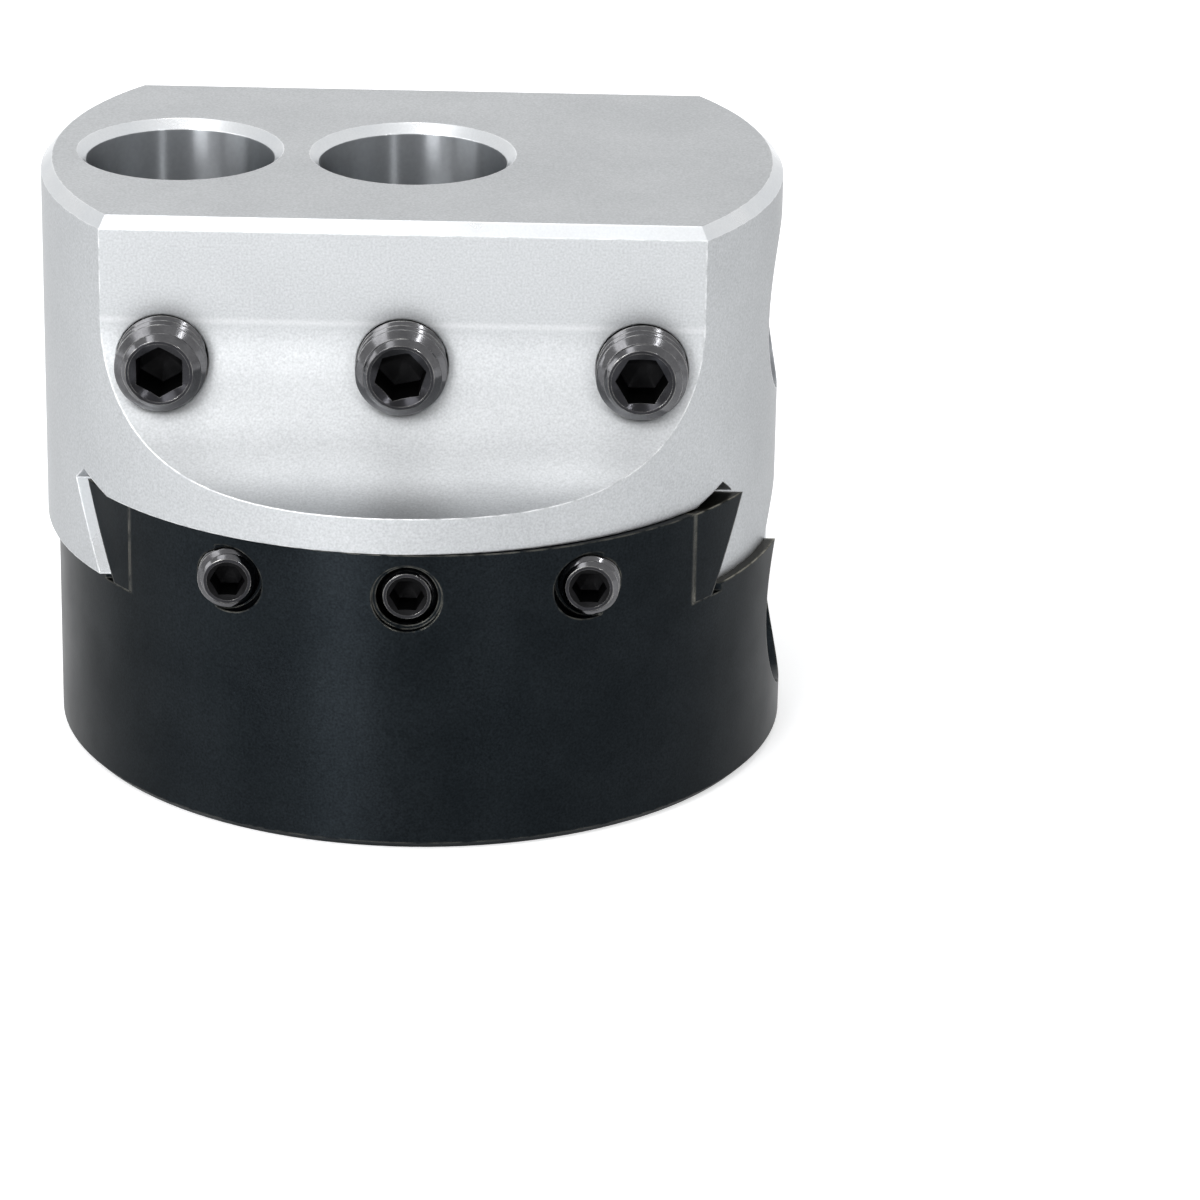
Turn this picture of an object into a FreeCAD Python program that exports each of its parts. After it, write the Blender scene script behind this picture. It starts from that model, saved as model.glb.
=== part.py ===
import FreeCAD, Part
import math
import os

from FreeCAD import Vector

# Boring head for a milling machine, in millimetres: a round body with a dovetail channel across
# its front, and a slide in that channel which carries the boring bar and is set off centre by a
# feed screw with a graduated dial. The origin is the centre of the body's rear face. +Z points
# out of the spindle, +X to the dial's side and -Y to the side with the clamping screws.

# Body
HEAD_RADIUS = 50.0
BODY_HEIGHT = 41.8
REAR_CHAMFER = 1.0

# Dovetail channel and the gib that takes up its play
CHANNEL_DEPTH = 11.6
DOVETAIL_HALF_WIDTH = 29.65
DOVETAIL_LEAN_DEG = 25.0
FLANK_CLEARANCE = 0.03
CORNER_RELIEF_DEPTH = 1.1
CORNER_RELIEF_WIDTH = 1.3
GIB_FOOT_WIDTH = 3.55
GIB_PLAY = 0.15
GIB_TOP_GAP = 0.1

# Slide
SLIDE_OFFSET = -1.5
SHOULDER_GAP = 0.1
BORE_FLOOR_THICKNESS = 10.1
TOP_CHAMFER = 1.5
FLAT_HALF_WIDTH = 30.6
FLAT_HEIGHT = 13.8
SCOOP_RADIUS = 19.7
SLIDE_RELIEF_HEIGHT = 2.0
SLIDE_RELIEF_SHIFT = 2.15
SLIDE_RELIEF_RUN = 4.95
TRAVEL_OUT = 25.4
TRAVEL_IN = 1.27

# Bores for the boring bars
BORE_RADIUS = 12.7
BORE_DEPTH = 40.0
BORE_SPACING = 31.4
BORE_CHAMFER = 1.25
CROSS_BORE_DEPTH = 34.0

# Clamping screws of the bores
CLAMP_RADIUS = 6.0
CLAMP_LENGTH = 20.0
CLAMP_DROP = 19.1
CLAMP_STAND_OUT = 5.9
CLAMP_HEX = 6.0
CLAMP_SOCKET_DEPTH = 6.5
CLAMP_TURNS_DEG = {"offset_bore": 30.0, "centre_bore": 13.0, "cross_bore": 0.0}

# Gib screws
GIB_SCREW_RADIUS = 4.0
GIB_SCREW_SPACING = 23.6
GIB_SCREW_DROP = 6.1
GIB_SCREW_SIDE_LENGTH = 12.0
GIB_SCREW_MIDDLE_LENGTH = 16.0
GIB_SCREW_HEX = 4.0
GIB_SCREW_SOCKET_DEPTH = 4.5
GIB_ENTRANCE_RADIUS = 4.6
GIB_ENTRANCE_DEPTH = 1.0

# Feed screw, from its dial to its far end
FEED_DROP = 9.7
FEED_RADIUS = 4.5
FEED_HEAD_RADIUS = 5.0
FEED_HEX = 5.0
FEED_SOCKET_DEPTH = 6.0
COLLAR_RADIUS = 7.4
COLLAR_WIDTH = 4.0
END_JOURNAL_RADIUS = 3.5
END_JOURNAL_LENGTH = 6.3
END_PLAY = 0.5

# Bearing of the feed screw
BEARING_RADIUS = 8.0
WASHER_WIDTH = 1.2
RETAINER_WIDTH = 5.0
SPANNER_HOLE_RADIUS = 1.0
SPANNER_HOLE_DEPTH = 2.0

# Dial
DIAL_RADIUS = 14.3
DIAL_WIDTH = 8.0
DIAL_BEVEL = 2.4
DIAL_INSET = 2.6
DIAL_CLEARANCE = 1.0
DIAL_BACK_GAP = 0.3
DIAL_SCREW_RADIUS = 1.5
DIAL_SCREW_LENGTH = 6.0
DIAL_SCREW_HEX = 1.5
DIAL_SCREW_SOCKET_DEPTH = 2.0

# Half nut under the slide, its screws and its dowels
NUT_LENGTH = 24.0
NUT_WIDTH = 16.0
NUT_SCREW_RADIUS = 2.0
NUT_SCREW_TIP_GAP = 0.9
NUT_SCREW_SPACING = 7.0
NUT_SCREW_HEAD_RADIUS = 3.5
NUT_SCREW_HEAD_HEIGHT = 4.0
NUT_SCREW_HEAD_DEPTH = 0.4
NUT_SCREW_HEX = 3.0
NUT_SCREW_SOCKET_DEPTH = 2.0
DOWEL_RADIUS = 1.5
DOWEL_TIP_HEIGHT = 3.5
DOWEL_SPACING = 5.5
DOWEL_DEPTH = 2.3

# Threaded socket for the shank, with its locking screw and soft pad
SOCKET_RADIUS = 19.05
SOCKET_DEPTH = 13.5
LOCK_HEIGHT = 6.5
LOCK_RADIUS = 3.0
LOCK_LENGTH = 10.0
LOCK_HEX = 3.0
LOCK_SOCKET_DEPTH = 3.5
PAD_RADIUS = 2.4
PAD_LENGTH = 3.6
PAD_SETBACK = 1.2

# Fits
THREAD_CLEARANCE = 0.05
RUNNING_CLEARANCE = 0.05
LOOSE_CLEARANCE = 0.3
DOWEL_CLEARANCE = 0.02
HOLE_TIP_ROOM = 0.2
EDGE_FINDING_BAND = 0.3

# Places that follow from the sizes
ORIGIN = Vector(0, 0, 0)
ALONG_X = Vector(1, 0, 0)
ALONG_Y = Vector(0, 1, 0)
ALONG_Z = Vector(0, 0, 1)
OVERRUN = 2.0
FLOOR_Z = BODY_HEIGHT - CHANNEL_DEPTH
SHOULDER_Z = BODY_HEIGHT + SHOULDER_GAP
BORE_FLOOR_Z = FLOOR_Z + BORE_FLOOR_THICKNESS
TOP_Z = BORE_FLOOR_Z + BORE_DEPTH
CLAMP_Z = TOP_Z - CLAMP_DROP
GIB_SCREW_Z = BODY_HEIGHT - GIB_SCREW_DROP
GIB_WALL_Y = -(DOVETAIL_HALF_WIDTH + GIB_FOOT_WIDTH)
GIB_OUTER_Y = GIB_WALL_Y + GIB_PLAY
RELIEF_Z = FLOOR_Z - CORNER_RELIEF_DEPTH
FEED_Z = FLOOR_Z - FEED_DROP
DIAL_FACE_X = HEAD_RADIUS - DIAL_INSET
DIAL_BACK_X = DIAL_FACE_X - DIAL_WIDTH
RECESS_X = DIAL_BACK_X - DIAL_BACK_GAP
RECESS_RADIUS = DIAL_RADIUS + DIAL_CLEARANCE
OUTER_WASHER_X = RECESS_X - RETAINER_WIDTH - WASHER_WIDTH
COLLAR_X = OUTER_WASHER_X - COLLAR_WIDTH
BEARING_X = COLLAR_X - WASHER_WIDTH
NUT_SLOT_START_X = SLIDE_OFFSET - NUT_LENGTH / 2 - TRAVEL_OUT - END_PLAY
NUT_SLOT_END_X = SLIDE_OFFSET + NUT_LENGTH / 2 + TRAVEL_IN + END_PLAY
NUT_SCREW_SEAT_Z = BORE_FLOOR_Z - NUT_SCREW_HEAD_DEPTH - NUT_SCREW_HEAD_HEIGHT
NUT_SCREW_TIP_Z = FEED_Z + FEED_RADIUS + NUT_SCREW_TIP_GAP
DOWEL_TOP_Z = BORE_FLOOR_Z - DOWEL_DEPTH
DOWEL_TIP_Z = FEED_Z + DOWEL_TIP_HEIGHT
PAD_TIP_Y = SOCKET_RADIUS + PAD_SETBACK
LOCK_TIP_Y = PAD_TIP_Y + PAD_LENGTH


def rod(radius, start, end):
    """Cylinder between two points on its axis."""
    along = end - start
    return Part.makeCylinder(radius, along.Length, start, along)


def cone(start_radius, end_radius, start, end):
    """Cone frustum between two points on its axis."""
    along = end - start
    return Part.makeCone(start_radius, end_radius, along.Length, start, along)


def feed_point(x):
    """Point on the feed screw's axis."""
    return Vector(x, 0, FEED_Z)


def revolved(points):
    """Solid turned about +Z from (radius, height) points."""
    corners = [Vector(radius, 0, height) for radius, height in points]
    face = Part.Face(Part.makePolygon(corners + corners[:1]))
    return face.revolve(ORIGIN, ALONG_Z, 360)


def section_prism(points, start_x, end_x):
    """Prism along X from (y, z) points."""
    corners = [Vector(start_x, y, z) for y, z in points]
    face = Part.Face(Part.makePolygon(corners + corners[:1]))
    return face.extrude(ALONG_X * (end_x - start_x))


def hex_prism(across_flats, height, base_z, turn_deg=0.0):
    """Upright hexagonal prism, with a flat facing local -Y when it isn't turned."""
    corner_radius = across_flats / math.sqrt(3)
    corners = []
    for step in range(6):
        angle = math.radians(60 * step + turn_deg)
        corners.append(Vector(corner_radius * math.cos(angle), corner_radius * math.sin(angle), base_z))
    face = Part.Face(Part.makePolygon(corners + corners[:1]))
    return face.extrude(ALONG_Z * height)


def placed(shape, point, direction):
    """Copy of an upright shape moved to a point, with its +Z turned to a direction."""
    copy = shape.copy()
    copy.Placement = FreeCAD.Placement(point, FreeCAD.Rotation(ALONG_Z, direction))
    return copy


def set_screw(radius, length, hex_size, socket_depth, turn_deg=0.0):
    """Upright set screw on its tip, with a hex socket in its top."""
    shank = rod(radius, ORIGIN, ALONG_Z * length)
    return shank.cut(hex_prism(hex_size, socket_depth, length - socket_depth, turn_deg))


def cap_screw(radius, length, head_radius, head_height, hex_size, socket_depth):
    """Upright socket head cap screw on its tip."""
    top = length + head_height
    shank = revolved([(0, 0), (radius, 0), (radius, length), (head_radius, length), (head_radius, top), (0, top)])
    return shank.cut(hex_prism(hex_size, socket_depth, top - socket_depth))


def flank_y(z, clearance=0.0):
    """Distance from the centre to the slide's flank at a height, or to a face clear of it."""
    lean = math.radians(DOVETAIL_LEAN_DEG)
    return DOVETAIL_HALF_WIDTH - (z - FLOOR_Z) * math.tan(lean) + clearance / math.cos(lean)


def channel():
    """Cut for the dovetail channel, with the gib's slot in front and relieved corners."""
    above = BODY_HEIGHT + OVERRUN
    relief_y = DOVETAIL_HALF_WIDTH - CORNER_RELIEF_WIDTH
    rear_top_y = flank_y(BODY_HEIGHT, FLANK_CLEARANCE)
    outline = [
        (GIB_WALL_Y, above),
        (GIB_WALL_Y, RELIEF_Z),
        (-relief_y, RELIEF_Z),
        (-relief_y, FLOOR_Z),
        (relief_y, FLOOR_Z),
        (relief_y, RELIEF_Z),
        (flank_y(RELIEF_Z, FLANK_CLEARANCE), RELIEF_Z),
        (rear_top_y, BODY_HEIGHT),
        (rear_top_y, above),
    ]
    return section_prism(outline, -HEAD_RADIUS - OVERRUN, HEAD_RADIUS + OVERRUN)


def nut_slot():
    """Pocket in the channel's floor in which the half nut travels."""
    width = NUT_WIDTH + 2 * LOOSE_CLEARANCE
    bottom = FEED_Z - LOOSE_CLEARANCE
    corner = Vector(NUT_SLOT_START_X, -width / 2, bottom)
    return Part.makeBox(NUT_SLOT_END_X - NUT_SLOT_START_X, width, FLOOR_Z + OVERRUN - bottom, corner)


def feed_screw_cuts():
    """Dial recess, bearing seat, long bore and blind end bore on the feed screw's axis."""
    outside = HEAD_RADIUS + OVERRUN
    journal_end = NUT_SLOT_START_X + LOOSE_CLEARANCE - END_JOURNAL_LENGTH - END_PLAY
    return [
        rod(RECESS_RADIUS, feed_point(RECESS_X), feed_point(outside)),
        rod(BEARING_RADIUS, feed_point(BEARING_X), feed_point(outside)),
        rod(FEED_RADIUS + RUNNING_CLEARANCE, feed_point(NUT_SLOT_START_X), feed_point(outside)),
        rod(END_JOURNAL_RADIUS + RUNNING_CLEARANCE, feed_point(journal_end), feed_point(NUT_SLOT_END_X)),
        nut_slot(),
    ]


def gib_screw_cuts():
    """Tapped holes for the gib screws, each with a wider entrance."""
    cuts = []
    for step in (-1, 0, 1):
        x = step * GIB_SCREW_SPACING
        surface_y = -math.sqrt(HEAD_RADIUS ** 2 - x ** 2)
        outside = Vector(x, -HEAD_RADIUS - OVERRUN, GIB_SCREW_Z)
        slot = Vector(x, GIB_WALL_Y + CORNER_RELIEF_WIDTH, GIB_SCREW_Z)
        entrance = Vector(x, surface_y + GIB_ENTRANCE_DEPTH, GIB_SCREW_Z)
        cuts.append(rod(GIB_SCREW_RADIUS + THREAD_CLEARANCE, outside, slot))
        cuts.append(rod(GIB_ENTRANCE_RADIUS, outside, entrance))
    return cuts


def shank_cuts():
    """Threaded socket for the shank, and the hole of its locking screw."""
    lock_start = Vector(0, SOCKET_RADIUS - OVERRUN, LOCK_HEIGHT)
    lock_end = Vector(0, HEAD_RADIUS + OVERRUN, LOCK_HEIGHT)
    return [
        rod(SOCKET_RADIUS, ORIGIN, ALONG_Z * SOCKET_DEPTH),
        rod(LOCK_RADIUS + THREAD_CLEARANCE, lock_start, lock_end),
    ]


def make_body():
    """Round body that screws onto the shank and guides the slide."""
    blank = revolved([
        (0, 0),
        (HEAD_RADIUS - REAR_CHAMFER, 0),
        (HEAD_RADIUS, REAR_CHAMFER),
        (HEAD_RADIUS, BODY_HEIGHT),
        (0, BODY_HEIGHT),
    ])
    return blank.cut([channel()] + feed_screw_cuts() + gib_screw_cuts() + shank_cuts())


def make_gib():
    """Long wedge strip between the front wall and the slide, with ends flush with the body."""
    top = BODY_HEIGHT - GIB_TOP_GAP
    strip = section_prism([
        (GIB_OUTER_Y, RELIEF_Z),
        (GIB_OUTER_Y, top),
        (-flank_y(top, FLANK_CLEARANCE), top),
        (-flank_y(RELIEF_Z, FLANK_CLEARANCE), RELIEF_Z),
    ], -HEAD_RADIUS, HEAD_RADIUS)
    return strip.common(Part.makeCylinder(HEAD_RADIUS, BODY_HEIGHT))


def slide_half_outline():
    """Rear half of the slide's section, from the foot of the dovetail up to the scoop's start."""
    apex_y = flank_y(SHOULDER_Z) + SLIDE_RELIEF_SHIFT
    return [
        (DOVETAIL_HALF_WIDTH, FLOOR_Z),
        (flank_y(SHOULDER_Z), SHOULDER_Z),
        (apex_y, SHOULDER_Z + SLIDE_RELIEF_HEIGHT),
        (apex_y + SLIDE_RELIEF_RUN, SHOULDER_Z),
        (HEAD_RADIUS + OVERRUN, SHOULDER_Z),
        (HEAD_RADIUS + OVERRUN, TOP_Z),
    ]


def scoop(side):
    """Cut for one flat with the concave sweep below it; side is -1 in front and 1 at the rear."""
    ridge_z = TOP_Z - FLAT_HEIGHT
    centre_y = FLAT_HALF_WIDTH + SCOOP_RADIUS
    outside_y = centre_y + HEAD_RADIUS
    start_x = -2 * HEAD_RADIUS
    inner = Vector(start_x, side * FLAT_HALF_WIDTH, ridge_z)
    bend = SCOOP_RADIUS * math.sqrt(0.5)
    middle = Vector(start_x, side * (centre_y - bend), ridge_z - bend)
    outer = Vector(start_x, side * centre_y, ridge_z - SCOOP_RADIUS)
    corners = [
        outer,
        Vector(start_x, side * outside_y, ridge_z - SCOOP_RADIUS),
        Vector(start_x, side * outside_y, TOP_Z + OVERRUN),
        Vector(start_x, side * FLAT_HALF_WIDTH, TOP_Z + OVERRUN),
        inner,
    ]
    wire = Part.Wire([Part.Arc(inner, middle, outer).toShape()] + Part.makePolygon(corners).Edges)
    return Part.Face(wire).extrude(ALONG_X * 4 * HEAD_RADIUS)


def slide_blank():
    """Slide without its holes: dovetail, shoulders, flats, scoops and the chamfered top."""
    rear = slide_half_outline()
    front = [(-y, z) for y, z in reversed(rear)]
    bar = section_prism(rear + front, SLIDE_OFFSET - HEAD_RADIUS - OVERRUN, SLIDE_OFFSET + HEAD_RADIUS + OVERRUN)
    round_blank = Part.makeCylinder(HEAD_RADIUS, TOP_Z, ALONG_X * SLIDE_OFFSET)
    blank = bar.common(round_blank).cut([scoop(-1), scoop(1)])
    top_edges = [edge for edge in blank.Edges if edge.BoundBox.ZMin > TOP_Z - EDGE_FINDING_BAND]
    return blank.makeChamfer(TOP_CHAMFER, top_edges)


def bar_bores():
    """Two upright bores and the cross bore for the boring bars, with chamfered mouths."""
    cuts = []
    for x in (SLIDE_OFFSET - BORE_SPACING, SLIDE_OFFSET):
        top = Vector(x, 0, TOP_Z)
        cuts.append(rod(BORE_RADIUS, Vector(x, 0, BORE_FLOOR_Z), top))
        cuts.append(cone(BORE_RADIUS, BORE_RADIUS + BORE_CHAMFER, top - ALONG_Z * BORE_CHAMFER, top))
    end_x = SLIDE_OFFSET + HEAD_RADIUS
    bottom = Vector(end_x - CROSS_BORE_DEPTH, 0, CLAMP_Z)
    cuts.append(rod(BORE_RADIUS, bottom, Vector(end_x + OVERRUN, 0, CLAMP_Z)))
    return cuts


def clamp_tip_y():
    """Place of a clamping screw's tip, short of the bore's wall."""
    return -(FLAT_HALF_WIDTH + CLAMP_STAND_OUT) + CLAMP_LENGTH


def clamp_places():
    """Place along X of each clamping screw."""
    return {
        "offset_bore": SLIDE_OFFSET - BORE_SPACING,
        "centre_bore": SLIDE_OFFSET,
        "cross_bore": SLIDE_OFFSET + BORE_SPACING,
    }


def clamp_holes():
    """Tapped holes from the front flat into the three bores."""
    front_y = -HEAD_RADIUS
    return [
        rod(CLAMP_RADIUS + THREAD_CLEARANCE, Vector(x, front_y, CLAMP_Z), Vector(x, 0, CLAMP_Z))
        for x in clamp_places().values()
    ]


def nut_screw_places():
    """Place along X of the half nut's two screws."""
    return [SLIDE_OFFSET + side * NUT_SCREW_SPACING for side in (-1, 1)]


def nut_holes():
    """Holes in the centre bore's floor for the half nut's screws and dowels."""
    cuts = []
    for x in nut_screw_places():
        top = Vector(x, 0, BORE_FLOOR_Z + OVERRUN)
        seat = Vector(x, 0, NUT_SCREW_SEAT_Z)
        through = Vector(x, 0, FLOOR_Z - OVERRUN)
        cuts.append(rod(NUT_SCREW_HEAD_RADIUS + LOOSE_CLEARANCE, seat, top))
        cuts.append(rod(NUT_SCREW_RADIUS + LOOSE_CLEARANCE, through, top))
    for side in (-1, 1):
        top = Vector(SLIDE_OFFSET, side * DOWEL_SPACING, BORE_FLOOR_Z + OVERRUN)
        through = Vector(SLIDE_OFFSET, side * DOWEL_SPACING, FLOOR_Z - OVERRUN)
        cuts.append(rod(DOWEL_RADIUS + DOWEL_CLEARANCE, through, top))
    return cuts


def dial_pocket():
    """Round relief under the slide's end, which clears the top of the dial."""
    inner_x = RECESS_X - TRAVEL_IN - LOOSE_CLEARANCE
    return rod(RECESS_RADIUS, feed_point(inner_x), feed_point(HEAD_RADIUS + OVERRUN))


def make_bar_holder():
    """Slide that carries the boring bar."""
    return slide_blank().cut(bar_bores() + clamp_holes() + nut_holes() + [dial_pocket()])


def make_clamp_screw(name):
    """Clamping screw of one bore, at rest just short of the bar."""
    turn = CLAMP_TURNS_DEG[name]
    screw = set_screw(CLAMP_RADIUS, CLAMP_LENGTH, CLAMP_HEX, CLAMP_SOCKET_DEPTH, turn)
    return placed(screw, Vector(clamp_places()[name], clamp_tip_y(), CLAMP_Z), -ALONG_Y)


def make_gib_screw(step, length):
    """Gib screw, with its tip against the gib; step is -1 at the left, 0 and 1 at the right."""
    screw = set_screw(GIB_SCREW_RADIUS, length, GIB_SCREW_HEX, GIB_SCREW_SOCKET_DEPTH)
    return placed(screw, Vector(step * GIB_SCREW_SPACING, GIB_OUTER_Y, GIB_SCREW_Z), -ALONG_Y)


def make_lead_screw():
    """Feed screw: end journal, threaded length, thrust collar and head with a hex socket."""
    thread_start = NUT_SLOT_START_X + LOOSE_CLEARANCE
    journal = rod(END_JOURNAL_RADIUS, feed_point(thread_start - END_JOURNAL_LENGTH), feed_point(thread_start))
    thread = rod(FEED_RADIUS, feed_point(thread_start), feed_point(COLLAR_X))
    collar = rod(COLLAR_RADIUS, feed_point(COLLAR_X), feed_point(OUTER_WASHER_X))
    head = rod(FEED_HEAD_RADIUS, feed_point(OUTER_WASHER_X), feed_point(DIAL_FACE_X))
    socket = placed(hex_prism(FEED_HEX, FEED_SOCKET_DEPTH, 0), feed_point(DIAL_FACE_X - FEED_SOCKET_DEPTH), ALONG_X)
    return journal.fuse([thread, collar, head]).cut(socket).removeSplitter()


def make_washer(start_x, shaft_radius):
    """Bronze thrust washer beside the collar."""
    ring = rod(BEARING_RADIUS - LOOSE_CLEARANCE, feed_point(start_x), feed_point(start_x + WASHER_WIDTH))
    hole = rod(shaft_radius + LOOSE_CLEARANCE, feed_point(start_x - OVERRUN), feed_point(RECESS_X))
    return ring.cut(hole)


def make_bearing_retainer():
    """Threaded ring that holds the collar, with two holes for a pin spanner."""
    start_x = RECESS_X - RETAINER_WIDTH
    ring = rod(BEARING_RADIUS - THREAD_CLEARANCE, feed_point(start_x), feed_point(RECESS_X))
    cuts = [rod(FEED_HEAD_RADIUS + LOOSE_CLEARANCE, feed_point(start_x - OVERRUN), feed_point(DIAL_FACE_X))]
    pin_radius = (BEARING_RADIUS + FEED_HEAD_RADIUS) / 2
    for side in (-1, 1):
        pin = Vector(RECESS_X, side * pin_radius, FEED_Z)
        cuts.append(rod(SPANNER_HOLE_RADIUS, pin - ALONG_X * SPANNER_HOLE_DEPTH, pin + ALONG_X))
    return ring.cut(cuts)


def make_dial():
    """Dial on the feed screw's head, with a bevel for its graduations."""
    disc = revolved([
        (FEED_HEAD_RADIUS + DOWEL_CLEARANCE, 0),
        (DIAL_RADIUS, 0),
        (DIAL_RADIUS, DIAL_WIDTH - DIAL_BEVEL),
        (DIAL_RADIUS - DIAL_BEVEL, DIAL_WIDTH),
        (FEED_HEAD_RADIUS + DOWEL_CLEARANCE, DIAL_WIDTH),
    ])
    dial = placed(disc, feed_point(DIAL_BACK_X), ALONG_X)
    axis = feed_point(DIAL_BACK_X + (DIAL_WIDTH - DIAL_BEVEL) / 2)
    return dial.cut(rod(DIAL_SCREW_RADIUS + THREAD_CLEARANCE, axis, axis + ALONG_Z * (DIAL_RADIUS + OVERRUN)))


def make_dial_set_screw():
    """Small screw that locks the dial to the feed screw's head."""
    screw = set_screw(DIAL_SCREW_RADIUS, DIAL_SCREW_LENGTH, DIAL_SCREW_HEX, DIAL_SCREW_SOCKET_DEPTH)
    axis = feed_point(DIAL_BACK_X + (DIAL_WIDTH - DIAL_BEVEL) / 2)
    return placed(screw, axis + ALONG_Z * (FEED_HEAD_RADIUS + RUNNING_CLEARANCE), ALONG_Z)


def make_feed_nut():
    """Half nut under the slide, open downwards over the feed screw."""
    start_x = SLIDE_OFFSET - NUT_LENGTH / 2
    block = Part.makeBox(NUT_LENGTH, NUT_WIDTH, FLOOR_Z - FEED_Z, Vector(start_x, -NUT_WIDTH / 2, FEED_Z))
    bore = rod(FEED_RADIUS + RUNNING_CLEARANCE, feed_point(start_x - OVERRUN), feed_point(start_x + NUT_LENGTH + OVERRUN))
    cuts = [bore]
    for x in nut_screw_places():
        bottom = Vector(x, 0, NUT_SCREW_TIP_Z - HOLE_TIP_ROOM)
        cuts.append(rod(NUT_SCREW_RADIUS + THREAD_CLEARANCE, bottom, Vector(x, 0, FLOOR_Z + OVERRUN)))
    for side in (-1, 1):
        bottom = Vector(SLIDE_OFFSET, side * DOWEL_SPACING, DOWEL_TIP_Z - HOLE_TIP_ROOM)
        top = Vector(SLIDE_OFFSET, side * DOWEL_SPACING, FLOOR_Z + OVERRUN)
        cuts.append(rod(DOWEL_RADIUS + DOWEL_CLEARANCE, bottom, top))
    return block.cut(cuts)


def make_feed_nut_screws():
    """Two cap screws from the centre bore's floor into the half nut."""
    length = NUT_SCREW_SEAT_Z - NUT_SCREW_TIP_Z
    screw = cap_screw(NUT_SCREW_RADIUS, length, NUT_SCREW_HEAD_RADIUS, NUT_SCREW_HEAD_HEIGHT,
                      NUT_SCREW_HEX, NUT_SCREW_SOCKET_DEPTH)
    return Part.makeCompound([
        placed(screw, Vector(x, 0, NUT_SCREW_TIP_Z), ALONG_Z) for x in nut_screw_places()
    ])


def make_feed_nut_dowels():
    """Two dowels that fix the half nut's place under the slide."""
    pins = []
    for side in (-1, 1):
        tip = Vector(SLIDE_OFFSET, side * DOWEL_SPACING, DOWEL_TIP_Z)
        pins.append(rod(DOWEL_RADIUS, tip, tip + ALONG_Z * (DOWEL_TOP_Z - DOWEL_TIP_Z)))
    return Part.makeCompound(pins)


def make_shank_lock_screw():
    """Set screw that locks the shank in its socket, backed off at rest."""
    screw = set_screw(LOCK_RADIUS, LOCK_LENGTH, LOCK_HEX, LOCK_SOCKET_DEPTH)
    return placed(screw, Vector(0, LOCK_TIP_Y, LOCK_HEIGHT), ALONG_Y)


def make_shank_lock_pad():
    """Soft brass pad between the locking screw and the shank's thread."""
    start = Vector(0, PAD_TIP_Y, LOCK_HEIGHT)
    return rod(PAD_RADIUS, start, start + ALONG_Y * PAD_LENGTH)


def make_parts():
    """Every piece of the head by its name."""
    parts = {
        "body": make_body(),
        "gib": make_gib(),
        "bar_holder": make_bar_holder(),
        "gib_screw_left": make_gib_screw(-1, GIB_SCREW_SIDE_LENGTH),
        "gib_screw_middle": make_gib_screw(0, GIB_SCREW_MIDDLE_LENGTH),
        "gib_screw_right": make_gib_screw(1, GIB_SCREW_SIDE_LENGTH),
        "lead_screw": make_lead_screw(),
        "thrust_washer_inner": make_washer(BEARING_X, FEED_RADIUS),
        "thrust_washer_outer": make_washer(OUTER_WASHER_X, FEED_HEAD_RADIUS),
        "bearing_retainer": make_bearing_retainer(),
        "dial": make_dial(),
        "dial_set_screw": make_dial_set_screw(),
        "feed_nut": make_feed_nut(),
        "feed_nut_screws": make_feed_nut_screws(),
        "feed_nut_dowels": make_feed_nut_dowels(),
        "shank_lock_screw": make_shank_lock_screw(),
        "shank_lock_pad": make_shank_lock_pad(),
    }
    for name in clamp_places():
        parts["clamp_screw_" + name] = make_clamp_screw(name)
    return parts


os.makedirs("parts", exist_ok=True)
for node, shape in make_parts().items():
    shape.exportStep("parts/" + node + ".step")
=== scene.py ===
# Looks of a boring head: a bead blasted slide in a black oxide body, with its screws and its dial.
#
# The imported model's frame is kept as it is: metres, the origin in the centre of the body's rear
# face, +Z towards the slide, +X towards the dial and -Y towards the screws. Sizes in the classes
# are in millimetres, as a maker's drawing has them.

import logging
import math
from dataclasses import dataclass, replace
from enum import Enum
from functools import cache
from typing import Callable, Sequence

import bmesh
import bpy
from bpy.types import Material, Node, NodeSocket, NodeTree, Object
from mathutils import Matrix, Vector


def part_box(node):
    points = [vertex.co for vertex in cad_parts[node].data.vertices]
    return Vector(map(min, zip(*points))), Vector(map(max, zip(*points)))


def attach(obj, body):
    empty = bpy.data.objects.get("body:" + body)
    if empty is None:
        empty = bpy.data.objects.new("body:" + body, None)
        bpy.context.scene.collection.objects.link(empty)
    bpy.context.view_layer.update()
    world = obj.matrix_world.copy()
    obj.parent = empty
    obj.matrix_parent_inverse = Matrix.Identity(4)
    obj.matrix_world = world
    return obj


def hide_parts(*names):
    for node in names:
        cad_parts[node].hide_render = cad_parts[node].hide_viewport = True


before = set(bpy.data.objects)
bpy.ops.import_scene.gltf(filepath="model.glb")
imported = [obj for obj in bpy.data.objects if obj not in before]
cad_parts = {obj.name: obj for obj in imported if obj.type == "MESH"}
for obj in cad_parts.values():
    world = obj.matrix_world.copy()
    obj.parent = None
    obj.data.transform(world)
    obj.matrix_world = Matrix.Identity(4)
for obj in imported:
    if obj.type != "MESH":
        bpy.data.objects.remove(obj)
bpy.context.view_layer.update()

logging.basicConfig(level=logging.INFO, format="%(name)s: %(message)s")
log = logging.getLogger("boring_head")

MM = 0.001

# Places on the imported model, in millimetres
HEAD_RADIUS = 50.0
GIB_WALL_Y = -33.2
SLIDE_TOP = 80.3
CLAMP_HEIGHT = 61.2
CLAMP_PLACES = {"offset_bore": -32.9, "centre_bore": -1.5, "cross_bore": 29.9}
GIB_SCREW_HEIGHT = 35.7
FEED_HEIGHT = 20.5

# Slack in millimetres when a face is told by its place
SLACK = 0.1

# Sockets of a Mix node when it mixes colours
MIX_A, MIX_B, MIX_RESULT = 6, 7, 2


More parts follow.
